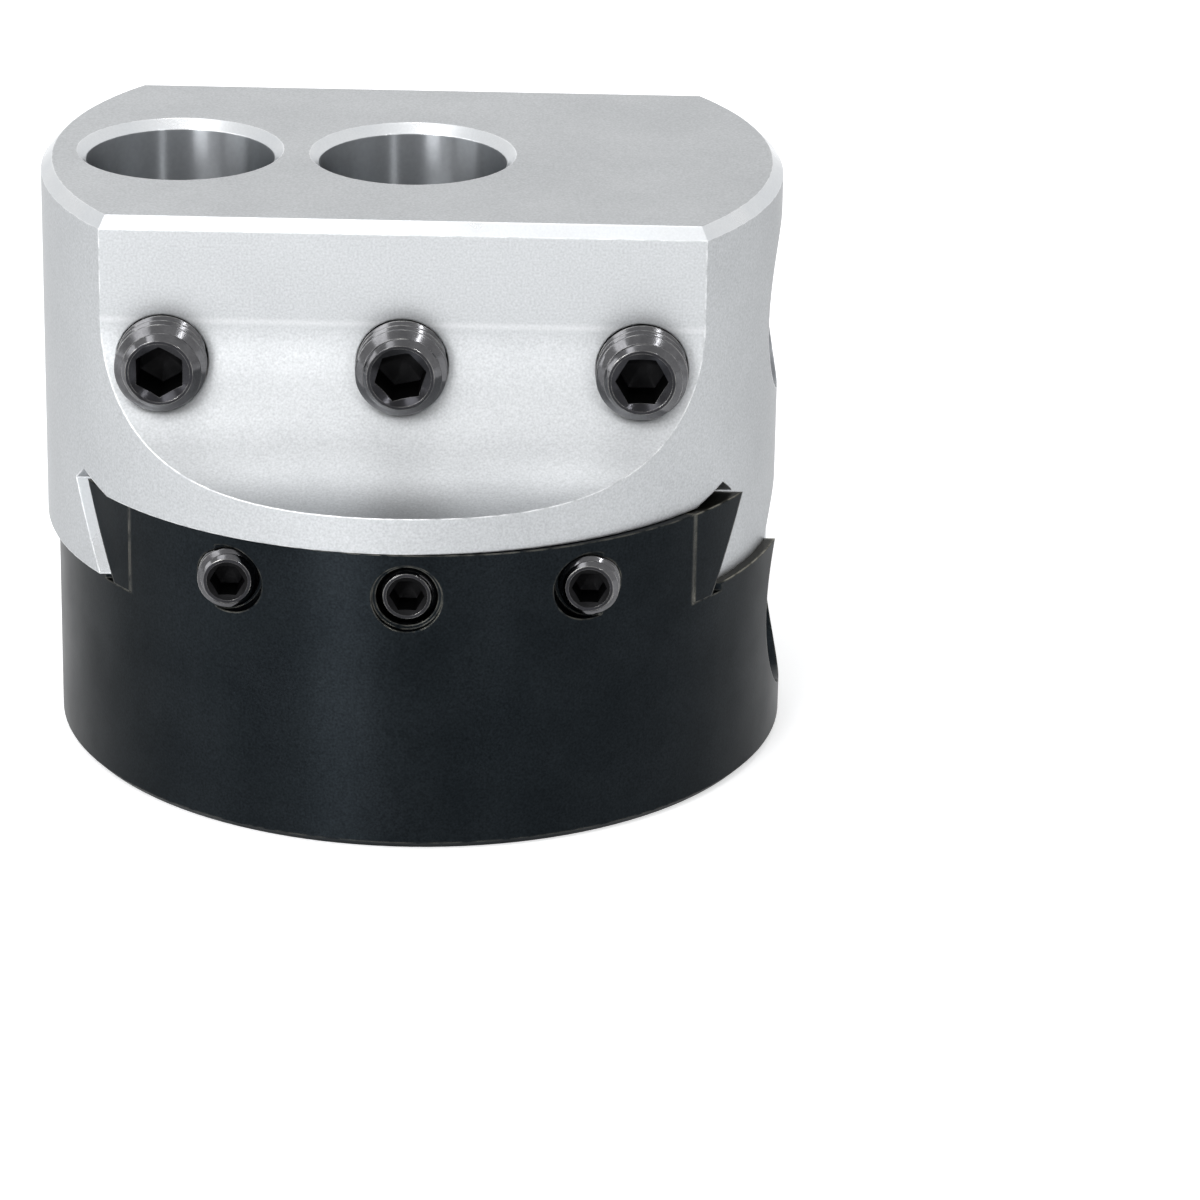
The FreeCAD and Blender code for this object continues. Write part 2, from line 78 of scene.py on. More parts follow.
class Axis(Enum):
    """Direction of a straight axis in the model's frame."""

    X = (1.0, 0.0, 0.0)
    Y = (0.0, 1.0, 0.0)
    Z = (0.0, 0.0, 1.0)

    @property
    def vector(self) -> Vector:
        """The direction as a vector."""
        return Vector(self.value)


class Lay(Enum):
    """Way that the marks of a tool run over a surface, as how far they reach along X, Y and Z."""

    EVEN = (1.0, 1.0, 1.0)
    ALONG_X = (60.0, 1.0, 1.0)
    ROUND_X = (1.0, 40.0, 40.0)
    ROUND_Z = (40.0, 40.0, 1.0)
    IN_XY = (50.0, 50.0, 1.0)


def linear(hex_colour: str) -> tuple[float, float, float, float]:
    """Turn an sRGB hex colour into linear RGBA.

    Args:
        hex_colour: Colour as "#RRGGBB".

    Returns:
        Linear red, green, blue and an alpha of one.
    """
    channels = [int(hex_colour[i:i + 2], 16) / 255 for i in (1, 3, 5)]
    curve = [c / 12.92 if c <= 0.04045 else ((c + 0.055) / 1.055) ** 2.4 for c in channels]
    return curve[0], curve[1], curve[2], 1.0


def add_node(tree: NodeTree, kind: str, inputs: dict | None = None, **settings: object) -> Node:
    """Add one shader node with its settings, constant inputs and links.

    Args:
        tree: Node tree that takes the node.
        kind: Name of the node's type, after the word that all of them start with.
        inputs: Socket name or index to a constant, a socket, or a node whose first output feeds it.
        settings: Properties of the node itself.

    Returns:
        The new node.
    """
    node = tree.nodes.new(f"ShaderNode{kind}")
    for name, value in settings.items():
        setattr(node, name, value)
    for key, value in (inputs or {}).items():
        source = value.outputs[0] if isinstance(value, Node) else value
        if isinstance(source, NodeSocket):
            tree.links.new(source, node.inputs[key])
        else:
            node.inputs[key].default_value = source
    return node


def empty_material(name: str) -> tuple[Material, NodeTree]:
    """Make a material that has no nodes yet.

    Args:
        name: Name of the material.

    Returns:
        The material and its node tree.
    """
    material = bpy.data.materials.new(name)
    material.use_nodes = True
    material.node_tree.nodes.clear()
    return material, material.node_tree


def seen_directly(tree: NodeTree) -> Node:
    """Tell the rays that show a surface from the rays that only carry its light elsewhere.

    Args:
        tree: Node tree of the surface.

    Returns:
        One for camera, mirror and glass rays, and zero for the rest.
    """
    rays = add_node(tree, "LightPath").outputs
    shown = add_node(tree, "Math", {0: rays["Is Camera Ray"], 1: rays["Is Glossy Ray"]}, operation="MAXIMUM")
    return add_node(tree, "Math", {0: shown, 1: rays["Is Transmission Ray"]}, operation="MAXIMUM")


# Finishes


@dataclass(frozen=True)
class MetalFinish:
    """A machined metal surface: two tones, tool marks, a fine grain, and edges worn to bare metal.

    Noise keeps near the middle of its range, so each pattern stretches a part of that range.

    Attributes:
        name: Name of the material.
        tone: Colour of most of the surface, sRGB hex.
        second_tone: Colour of its slow patches, sRGB hex.
        worn: Colour of an edge where the finish is gone, sRGB hex.
        roughness: Roughness at the middle of the range.
        roughness_spread: How far the patches move the roughness up and down.
        lay: Way the tool marks run.
        mark_mm: Width of the tool marks.
        mark_height_mm: Height of the tool marks.
        grain_mm: Width of the fine grain.
        grain_height_mm: Height of the fine grain.
        grain_tone: How much the grain darkens and lightens the colour.
        patch_mm: Width of the slow patches.
        edge_mm: Width of the rounding on edges.
        wear: Share of wear that shows on edges, from 0 to 1.
        spread: How much further reflections spread across the tool marks than along them.
        spread_along: Axis along which they spread, across the marks.
        grazing: Share of light that a face keeps as it turns edge on, as an sRGB hex grey.
    """

    # Cosine of an edge's turn where wear starts and where it is full, and the width of its gaps
    WEAR_START, WEAR_FULL = 0.99, 0.94
    WEAR_GAP_MM = 1.6
    # How far the marks' direction is off its axis, so that a face square to the axis has one too
    OFF_AXIS = 0.02

    name: str
    tone: str
    second_tone: str
    worn: str
    roughness: float
    roughness_spread: float = 0.05
    lay: Lay = Lay.EVEN
    mark_mm: float = 0.4
    mark_height_mm: float = 0.002
    grain_mm: float = 0.3
    grain_height_mm: float = 0.003
    grain_tone: float = 0.1
    patch_mm: float = 9.0
    edge_mm: float = 0.25
    wear: float = 0.5
    spread: float = 0.0
    spread_along: Axis = Axis.Z
    grazing: str = "#FFFFFF"

    def _pattern(self, tree: NodeTree, size_mm: float, lay: Lay, detail: float) -> Node:
        """Noise with cells of a real size, drawn out the way the marks run.

        Args:
            tree: Node tree of the material.
            size_mm: Width of a cell across the marks.
            lay: Way the marks run.
            detail: Number of finer layers in the noise.

        Returns:
            The noise, from 0 to 1.
        """
        place = add_node(tree, "TexCoord").outputs["Object"]
        per_metre = [1.0 / (size_mm * MM * reach) for reach in lay.value]
        scaled = add_node(tree, "VectorMath", {0: place, 1: per_metre}, operation="MULTIPLY")
        return add_node(tree, "TexNoise", {"Vector": scaled, "Scale": 1.0, "Detail": detail})

    def _edges(self, tree: NodeTree) -> tuple[Node, Node]:
        """Rounded edges, and where the surface is so near an edge that handling wears it.

        Args:
            tree: Node tree of the material.

        Returns:
            The rounded normal, and the wear from 0 to 1.
        """
        rounded = add_node(tree, "Bevel", {"Radius": self.edge_mm * MM}, samples=6)
        facing = add_node(tree, "NewGeometry").outputs["Normal"]
        alike = add_node(tree, "VectorMath", {0: rounded, 1: facing}, operation="DOT_PRODUCT")
        near = add_node(tree, "MapRange", {
            "Value": alike.outputs["Value"], "From Min": self.WEAR_START, "From Max": self.WEAR_FULL,
            "To Max": self.wear,
        })
        gaps = self._pattern(tree, self.WEAR_GAP_MM, Lay.EVEN, 3.0)
        where = add_node(tree, "MapRange", {"Value": gaps, "From Min": 0.35, "From Max": 0.6})
        return rounded, add_node(tree, "Math", {0: near, 1: where}, operation="MULTIPLY")

    def _colour(self, tree: NodeTree, patches: Node, grain: Node, wear: Node) -> NodeSocket:
        """Colour of the surface from its patches, its grain and its wear.

        Args:
            tree: Node tree of the material.
            patches: Slow pattern, from 0 to 1.
            grain: Fine pattern, from 0 to 1.
            wear: Wear, from 0 to 1.

        Returns:
            The colour.
        """
        share = add_node(tree, "MapRange", {"Value": patches, "From Min": 0.35, "From Max": 0.65})
        tones = add_node(tree, "Mix", {
            0: share, MIX_A: linear(self.tone), MIX_B: linear(self.second_tone),
        }, data_type="RGBA")
        light = add_node(tree, "MapRange", {
            "Value": grain, "From Min": 0.25, "From Max": 0.75,
            "To Min": 1.0 - self.grain_tone, "To Max": 1.0 + self.grain_tone,
        })
        speckled = add_node(tree, "VectorMath", {0: tones.outputs[MIX_RESULT], 3: light}, operation="SCALE")
        bare = add_node(tree, "Mix", {0: wear, MIX_A: speckled, MIX_B: linear(self.worn)}, data_type="RGBA")
        return bare.outputs[MIX_RESULT]

    def _relief(self, tree: NodeTree, grain: Node, rounded: Node) -> Node:
        """Normal of the surface with its tool marks and its grain.

        Args:
            tree: Node tree of the material.
            grain: Fine pattern, from 0 to 1.
            rounded: Normal that the relief is added to.

        Returns:
            The normal.
        """
        marks = self._pattern(tree, self.mark_mm, self.lay, 1.0)
        normal = rounded
        for height, size_mm in ((marks, self.mark_height_mm), (grain, self.grain_height_mm)):
            normal = add_node(tree, "Bump", {"Height": height, "Distance": size_mm * MM, "Normal": normal})
        return normal

    def _soft_line(self, tree: NodeTree, along: NodeSocket, middle_mm: float, width_mm: float) -> Node:
        """Soft line at one place along an axis.

        Args:
            tree: Node tree of the material.
            along: Place along the axis, in metres.
            middle_mm: Middle of the line.
            width_mm: Width of the line.

        Returns:
            Strength of the line, from 0 to 1.
        """
        off_middle = add_node(tree, "Math", {0: along, 1: middle_mm * MM}, operation="SUBTRACT")
        away = add_node(tree, "Math", {0: off_middle}, operation="ABSOLUTE")
        return add_node(tree, "MapRange", {
            "Value": away, "From Min": width_mm * MM / 2, "From Max": 0.0,
        }, interpolation_type="SMOOTHSTEP")

    def _more_wear_and_highlights(self, tree: NodeTree, wear: Node, *shares: Node | float) -> Node:
        """Add to the worn colour's share, for wear and for painted highlights, where several shares are high
        together.

        Args:
            tree: Node tree of the material.
            wear: Wear so far, from 0 to 1.
            shares: Shares that are multiplied, from 0 to 1.

        Returns:
            The larger of the wear so far and the product.
        """
        product = shares[0]
        for share in shares[1:]:
            product = add_node(tree, "Math", {0: product, 1: share}, operation="MULTIPLY")
        return add_node(tree, "Math", {0: wear, 1: product}, operation="MAXIMUM")

    def _extra_wear_and_highlights(self, tree: NodeTree, wear: Node) -> Node:
        """Wear and painted highlights of this finish beyond its edges; a plain finish has none."""
        return wear

    def build(self) -> Material:
        """Make the material.

        Returns:
            The new material.
        """
        material, tree = empty_material(self.name)
        patches = self._pattern(tree, self.patch_mm, Lay.EVEN, 3.0)
        grain = self._pattern(tree, self.grain_mm, Lay.EVEN, 2.0)
        rounded, edge_wear = self._edges(tree)
        wear = self._extra_wear_and_highlights(tree, edge_wear)
        low, high = self.roughness - self.roughness_spread, self.roughness + self.roughness_spread
        gloss = add_node(tree, "MapRange", {
            "Value": patches, "From Min": 0.3, "From Max": 0.7, "To Min": low, "To Max": high,
        })
        across = add_node(tree, "CombineXYZ", {
            number: reach + self.OFF_AXIS for number, reach in enumerate(self.spread_along.value)
        })
        shader = add_node(tree, "BsdfPrincipled", {
            "Base Color": self._colour(tree, patches, grain, wear),
            "Metallic": 1.0,
            "Roughness": gloss,
            "Anisotropic": self.spread,
            "Specular Tint": linear(self.grazing),
            "Normal": self._relief(tree, grain, rounded),
            "Tangent": across,
        })
        add_node(tree, "OutputMaterial", {"Surface": shader})
        return material


@dataclass(frozen=True)
class JointedBlackOxide(MetalFinish):
    """Black oxide on the body, with two soft pale lines where the gib meets the front wall.

    Attributes:
        line_width_mm: Width of a rubbed line.
        line_bottom_mm: Height at which the lines start.
        line_fade_mm: Height over which they set in.
        line_bright_mm: Height over which they lose their brightness again.
        line_share: Share of the pale colour along the rest of a line.
        line_sides: Share of the pale colour halfway to the left and halfway to the right of the head.
        line_gap_mm: Width of the gaps in the lines.
    """

    line_width_mm: float = 0.9
    line_bottom_mm: float = 28.8
    line_fade_mm: float = 0.6
    line_bright_mm: float = 2.6
    line_share: float = 0.3
    line_sides: tuple[float, float] = (0.25, 0.8)
    line_gap_mm: float = 0.5

    def _extra_wear_and_highlights(self, tree: NodeTree, wear: Node) -> Node:
        """Add the two pale lines to the wear of the edges.

        Args:
            tree: Node tree of the material.
            wear: Wear of the edges, from 0 to 1.

        Returns:
            Wear of edges, with the pale lines, from 0 to 1.
        """
        place = add_node(tree, "SeparateXYZ", {0: add_node(tree, "TexCoord").outputs["Object"]}).outputs
        line = self._soft_line(tree, place["Y"], GIB_WALL_Y, self.line_width_mm)
        bottom, halfway = self.line_bottom_mm * MM, HEAD_RADIUS * MM / 2
        above = add_node(tree, "MapRange", {
            "Value": place["Z"], "From Min": bottom, "From Max": bottom + self.line_fade_mm * MM,
        })
        low = add_node(tree, "MapRange", {
            "Value": place["Z"], "From Min": bottom, "From Max": bottom + self.line_bright_mm * MM,
            "To Min": 1.0, "To Max": self.line_share,
        })
        side = add_node(tree, "MapRange", {
            "Value": place["X"], "From Min": -halfway, "From Max": halfway,
            "To Min": self.line_sides[0], "To Max": self.line_sides[1],
        })
        patchy = add_node(tree, "MapRange", {
            "Value": self._pattern(tree, self.line_gap_mm, Lay.EVEN, 2.0),
            "From Min": 0.3, "From Max": 0.6, "To Min": 0.4,
        })
        return self._more_wear_and_highlights(tree, wear, line, above, low, side, patchy)


@dataclass(frozen=True)
class CreasedNickel(MetalFinish):
    """Blasted nickel on the slide, with a highlight painted along the crease where a flat runs into its
    scoop.

    Attributes:
        crease_height_mm: Height of the crease.
        crease_width_mm: Width of the painted highlight.
        crease_reach_mm: Distance from the middle beyond which a face is on a flat or a scoop.
        crease_highlight_share: Share of the worn colour painted along the line as a highlight.
    """

    crease_height_mm: float = 66.5
    crease_width_mm: float = 1.4
    crease_reach_mm: float = 30.3
    crease_highlight_share: float = 0.15

    def _extra_wear_and_highlights(self, tree: NodeTree, wear: Node) -> Node:
        """Add the crease's painted highlight to the wear of the edges.

        Args:
            tree: Node tree of the material.
            wear: Wear of the edges, from 0 to 1.

        Returns:
            Wear of edges, with the line's painted highlight, from 0 to 1.
        """
        place = add_node(tree, "SeparateXYZ", {0: add_node(tree, "TexCoord").outputs["Object"]}).outputs
        # Painted highlight along the crease, on the flats only.
        line = self._soft_line(tree, place["Z"], self.crease_height_mm, self.crease_width_mm)
        off_middle = add_node(tree, "Math", {0: place["Y"]}, operation="ABSOLUTE")
        reach = self.crease_reach_mm * MM
        on_flat = add_node(tree, "Math", {0: off_middle, 1: reach}, operation="GREATER_THAN")
        return self._more_wear_and_highlights(tree, wear, line, on_flat, self.crease_highlight_share)


@dataclass(frozen=True)
class MarkPaint:
    """Matt enamel wiped into engraved marks: flat and even, with a faint mottle from the wiping.

    Attributes:
        name: Name of the material.
        tone: Colour of the paint, sRGB hex.
        second_tone: Colour where it was wiped thin, sRGB hex.
        mottle_mm: Width of the mottle.
        roughness: Roughness of the paint.
    """

    name: str
    tone: str
    second_tone: str
    mottle_mm: float = 0.5
    roughness: float = 0.6

    def build(self) -> Material:
        """Make the material.

        Returns:
            The new material.
        """
        material, tree = empty_material(self.name)
        place = add_node(tree, "TexCoord").outputs["Object"]
        mottle = add_node(tree, "TexNoise", {
            "Vector": place, "Scale": 1.0 / (self.mottle_mm * MM), "Detail": 2.0,
        })
        tones = add_node(tree, "Mix", {
            0: mottle, MIX_A: linear(self.tone), MIX_B: linear(self.second_tone),
        }, data_type="RGBA").outputs[MIX_RESULT]
        shader = add_node(tree, "BsdfPrincipled", {
            "Base Color": tones, "Roughness": self.roughness, "IOR": 1.5,
        })
        add_node(tree, "OutputMaterial", {"Surface": shader})
        return material


# Bead blasted, nickel plated steel: the beads leave even dimples that spread every reflection, so
# it looks pale and soft, with a fine sparkle. Real dimples are about 0.1 mm and are drawn 0.3 mm.
# It takes a painted highlight along the crease of each flat.
BLASTED_NICKEL = CreasedNickel(
    "bead_blasted_nickel", "#B0B2B4", "#ADAFB1", "#F0F1F2", 0.46, roughness_spread=0.03,
    mark_mm=2.4, mark_height_mm=0.003, grain_height_mm=0.007, grain_tone=0.14, patch_mm=14.0,
    edge_mm=0.3, wear=0.85, grazing="#DCDCDC",
)
# The same steel where a cutter broke its edges after blasting: smoother, so that it shines.
MILLED_EDGE = MetalFinish(
    "milled_steel_edge", "#D8DADC", "#D0D3D6", "#EEEFF0", 0.3,
    lay=Lay.ALONG_X, mark_mm=0.25, mark_height_mm=0.001, grain_height_mm=0.001, grain_tone=0.04,
)
# Finish bored steel: the tool's rings run round the bore, so a lamp shows as a streak along it.
# The rings are 0.08 mm apart and are drawn 0.35 mm.
BORED_STEEL = MetalFinish(
    "finish_bored_steel", "#A6A9AD", "#989CA0", "#F0F2F4", 0.35, roughness_spread=0.03,
    lay=Lay.ROUND_Z, mark_mm=0.35, mark_height_mm=0.001, grain_mm=0.6, grain_height_mm=0.0003,
    grain_tone=0.05, spread=1.0,
)
CROSS_BORED_STEEL = replace(
    BORED_STEEL, name="finish_cross_bored_steel", lay=Lay.ROUND_X, spread_along=Axis.X,
)
# Surface ground tool steel: straight fine scratches along the slide's travel, drawn 0.3 mm apart.
GROUND_STEEL = MetalFinish(
    "ground_tool_steel", "#B4B6B8", "#A8ABAE", "#E6E8EA", 0.28,
    lay=Lay.ALONG_X, mark_mm=0.3, mark_height_mm=0.0012, grain_height_mm=0.0004, grain_tone=0.05,
)
# Hot black oxide on turned steel: a thin magnetite layer, so it is a dark metal with a faint blue
# cast. The turning grooves under it draw lamps out into upright bands. Their feed of 0.15 mm is
# drawn 0.45 mm.
BLACK_OXIDE = JointedBlackOxide(
    "black_oxide_on_turned_steel", "#1B1F22", "#181C1F", "#8F8D84", 0.4, roughness_spread=0.03,
    lay=Lay.ROUND_Z, mark_mm=0.45, mark_height_mm=0.0012, grain_height_mm=0.006, grain_tone=0.34,
    edge_mm=0.35, wear=0.35, spread=0.9, grazing="#E2E2E2",
)
# The same oxide on the body's faced top and base, where it draws no lamp out into a band.
FACED_OXIDE = MetalFinish(
    "black_oxide_on_faced_steel", "#1B1F22", "#181C1F", "#8F8D84", 0.4, roughness_spread=0.03,
    lay=Lay.IN_XY, mark_mm=0.45, mark_height_mm=0.0008, grain_height_mm=0.004, grain_tone=0.3,
    edge_mm=0.35, wear=0.35,
)
# The same oxide on the channel's floor and the gib's top, rubbed thin by the slide: an oily
# brown-grey, whose wide pale worn edges are partly wear and partly a painted highlight along the floor's rim.
RUBBED_OXIDE_AND_RIM_HIGHLIGHT = MetalFinish(
    "rubbed_floor_oxide_and_painted_rim_highlight", "#2E2D27", "#24241F", "#99968A", 0.36,
    lay=Lay.ALONG_X, mark_mm=0.3, mark_height_mm=0.001, grain_tone=0.2, patch_mm=6.0,
    edge_mm=0.6, wear=0.8,
)
# Black oxide on rolled and heat treated alloy screws: smoother than the body, so it shines more.
# Its tone is painted lighter than the ends' copy, as light on the threads' tops, and its pale worn edges are
# partly real wear and partly painted glints on the crests.
SCREW_OXIDE = MetalFinish(
    "black_oxide_on_alloy_screws", "#606062", "#515153", "#C4C3BF", 0.13, roughness_spread=0.04,
    mark_mm=0.5, grain_mm=0.22, grain_height_mm=0.002, grain_tone=0.14,
    patch_mm=2.5, edge_mm=0.16, wear=0.6,
)
# The same oxide on the turned ends round the sockets, painted darker than the threads as shade.
SCREW_END_PAINTED_SHADE = replace(
    SCREW_OXIDE, name="screw_end_oxide_painted_shade", tone="#313134", second_tone="#29292B",
    worn="#B4B3AF", roughness=0.17,
)
# The same oxide down in a broached socket, painted near black and matt as the socket's shade: it takes in
# nearly all light.
SOCKET_PAINTED_SHADE = MetalFinish(
    "painted_shade_in_sockets", "#1B1B1C", "#161617", "#3A3A3B", 0.55,
    mark_height_mm=0.003, grain_height_mm=0.002, patch_mm=2.5, edge_mm=0.08, wear=0.2,
)
# Turned medium carbon steel: bright, with rings round the screw's axis, drawn 0.3 mm apart.
TURNED_STEEL = MetalFinish(
    "turned_carbon_steel", "#B7B9BB", "#A7AAAD", "#E6E8EA", 0.26,
    lay=Lay.ROUND_X, mark_mm=0.3, mark_height_mm=0.001, grain_height_mm=0.0005, grain_tone=0.05, wear=0.4,
)
# Satin chrome on the turned dial: paler than steel and evenly matt, so that its marks stay legible.
SATIN_CHROME = MetalFinish(
    "satin_chrome_dial", "#CDD0D2", "#C5C8CB", "#F0F1F2", 0.3, lay=Lay.ROUND_X,
    mark_mm=0.3, mark_height_mm=0.0008, grain_mm=0.25, grain_height_mm=0.001, grain_tone=0.04,
)
# Leaded bearing bronze, turned: warm brown-gold, dulled by oil.
BEARING_BRONZE = MetalFinish(
    "bearing_bronze", "#A9814C", "#94703F", "#D2AF76", 0.34,
    mark_height_mm=0.001, grain_height_mm=0.001, grain_tone=0.08, patch_mm=5.0,
)
# Soft brass of the pad: yellow, mottled in small patches.
SOFT_BRASS = MetalFinish(
    "soft_brass_pad", "#C2A055", "#AE8E48", "#DFC68A", 0.32,
    mark_mm=0.3, grain_height_mm=0.001, grain_tone=0.08, patch_mm=2.0,
)
DARK_MARKS = MarkPaint("black_mark_enamel", "#17181A", "#26282A")
PALE_MARKS = MarkPaint("white_mark_enamel", "#DCDDD8", "#C6C7C2")


@dataclass(frozen=True)
class PaperSweep:
    """Matt white background paper: it takes the part's soft shadow and stays white around it.

    Attributes:
        name: Name of the material.
        tone: Colour of the paper, sRGB hex.
        glow: Light of its own that camera, mirror and glass rays see, as a share of white.
        fibre_mm: Width of the paper's fibres.
        fibre_height_mm: Height of the fibres.
    """

    name: str = "white_background_paper"
    tone: str = "#F4F5F6"
    glow: float = 0.52
    fibre_mm: float = 0.8
    fibre_height_mm: float = 0.01

    def build(self) -> Material:
        """Make the material.

        Returns:
            The new material.
        """
        material, tree = empty_material(self.name)
        place = add_node(tree, "TexCoord").outputs["Object"]
        fibres = add_node(tree, "TexNoise", {
            "Vector": place, "Scale": 1.0 / (self.fibre_mm * MM), "Detail": 2.0,
        })
        relief = add_node(tree, "Bump", {"Height": fibres, "Distance": self.fibre_height_mm * MM})
        paper = add_node(tree, "BsdfDiffuse", {"Color": linear(self.tone), "Normal": relief})
        strength = add_node(tree, "Math", {0: seen_directly(tree), 1: self.glow}, operation="MULTIPLY")
        both = add_node(tree, "AddShader", {0: paper, 1: add_node(tree, "Emission", {"Strength": strength})})
        add_node(tree, "OutputMaterial", {"Surface": both})
        return material


@cache
def material_of(finish: MetalFinish | MarkPaint | PaperSweep) -> Material:
    """Material of a finish, made when a piece first needs it."""
    return finish.build()


# Mesh making

# Angle over which an edge stays sharp, and distance under which points are one
SHARP_DEG = 30.0
SAME_POINT_MM = 0.001


def make_piece(name: str, points_mm: Sequence[Vector], faces: Sequence[Sequence[int]],
               material: Material, place: Matrix = Matrix.Identity(4),
               further: Sequence[tuple[int, Material]] = ()) -> Object:
    """Make one object from points in millimetres.

    Args:
        name: Name of the piece.
        points_mm: Points of its mesh.
        faces: Point numbers of each face.
        material: Finish of the piece.
        place: Where the piece goes, with its shift in millimetres.
        further: Number of the first face of each further finish, and that finish, in order.

    Returns:
        The new object, with its origin in the frame's origin.
    """
    mesh = bpy.data.meshes.new(name)
    mesh.from_pydata([(place @ point) * MM for point in points_mm], [], faces)
    mesh.materials.append(material)
    for number, (first, finish) in enumerate(further, start=1):
        mesh.materials.append(finish)
        for part in mesh.polygons[first:]:
            part.material_index = number
    cleaned = bmesh.new()
    cleaned.from_mesh(mesh)
    bmesh.ops.remove_doubles(cleaned, verts=cleaned.verts, dist=SAME_POINT_MM * MM)
    bmesh.ops.dissolve_degenerate(cleaned, edges=cleaned.edges, dist=SAME_POINT_MM * MM)
    bmesh.ops.recalc_face_normals(cleaned, faces=cleaned.faces)
    for part in cleaned.faces:
        part.smooth = True
    cleaned.to_mesh(mesh)
    cleaned.free()
    mesh.set_sharp_from_angle(angle=math.radians(SHARP_DEG))
    piece = bpy.data.objects.new(name, mesh)
    bpy.context.collection.objects.link(piece)
    return piece


def settle(piece: Object, body: str, slot: str, *nodes: str) -> None:
    """Fix a new piece to its body, hide the nodes that it stands for and report it.

    Args:
        piece: The new piece.
        body: Body that it rides on.
        slot: Not used.
        nodes: Nodes that it stands for.
    """
    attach(piece, body)
    if nodes:
        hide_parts(*nodes)
    log.info("made %s, riding on %s", piece.name, body)


def dress(name: str, material: Material) -> Object:
    """Give a kept node its main finish and report it.

    Args:
        name: Name of the node.
        material: Finish of most of its faces.

    Returns:
        The node's object.
    """
    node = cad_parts[name]
    node.material_slots[0].material = material
    log.info("dressed %s in %s", name, material.name)
    return node


def finish_faces(node: Object, material: Material,
                 belongs: Callable[[Vector, Vector], bool]) -> None:
    """Give some faces of a kept node a finish of their own.

    Args:
        node: The node's object.
        material: Finish of those faces.
        belongs: Tells from a face's middle in millimetres and its direction whether it takes the finish.
    """
    node.data.materials.append(material)
    number = len(node.data.materials) - 1
    for part in node.data.polygons:
        if belongs(part.center / MM, part.normal):
            part.material_index = number


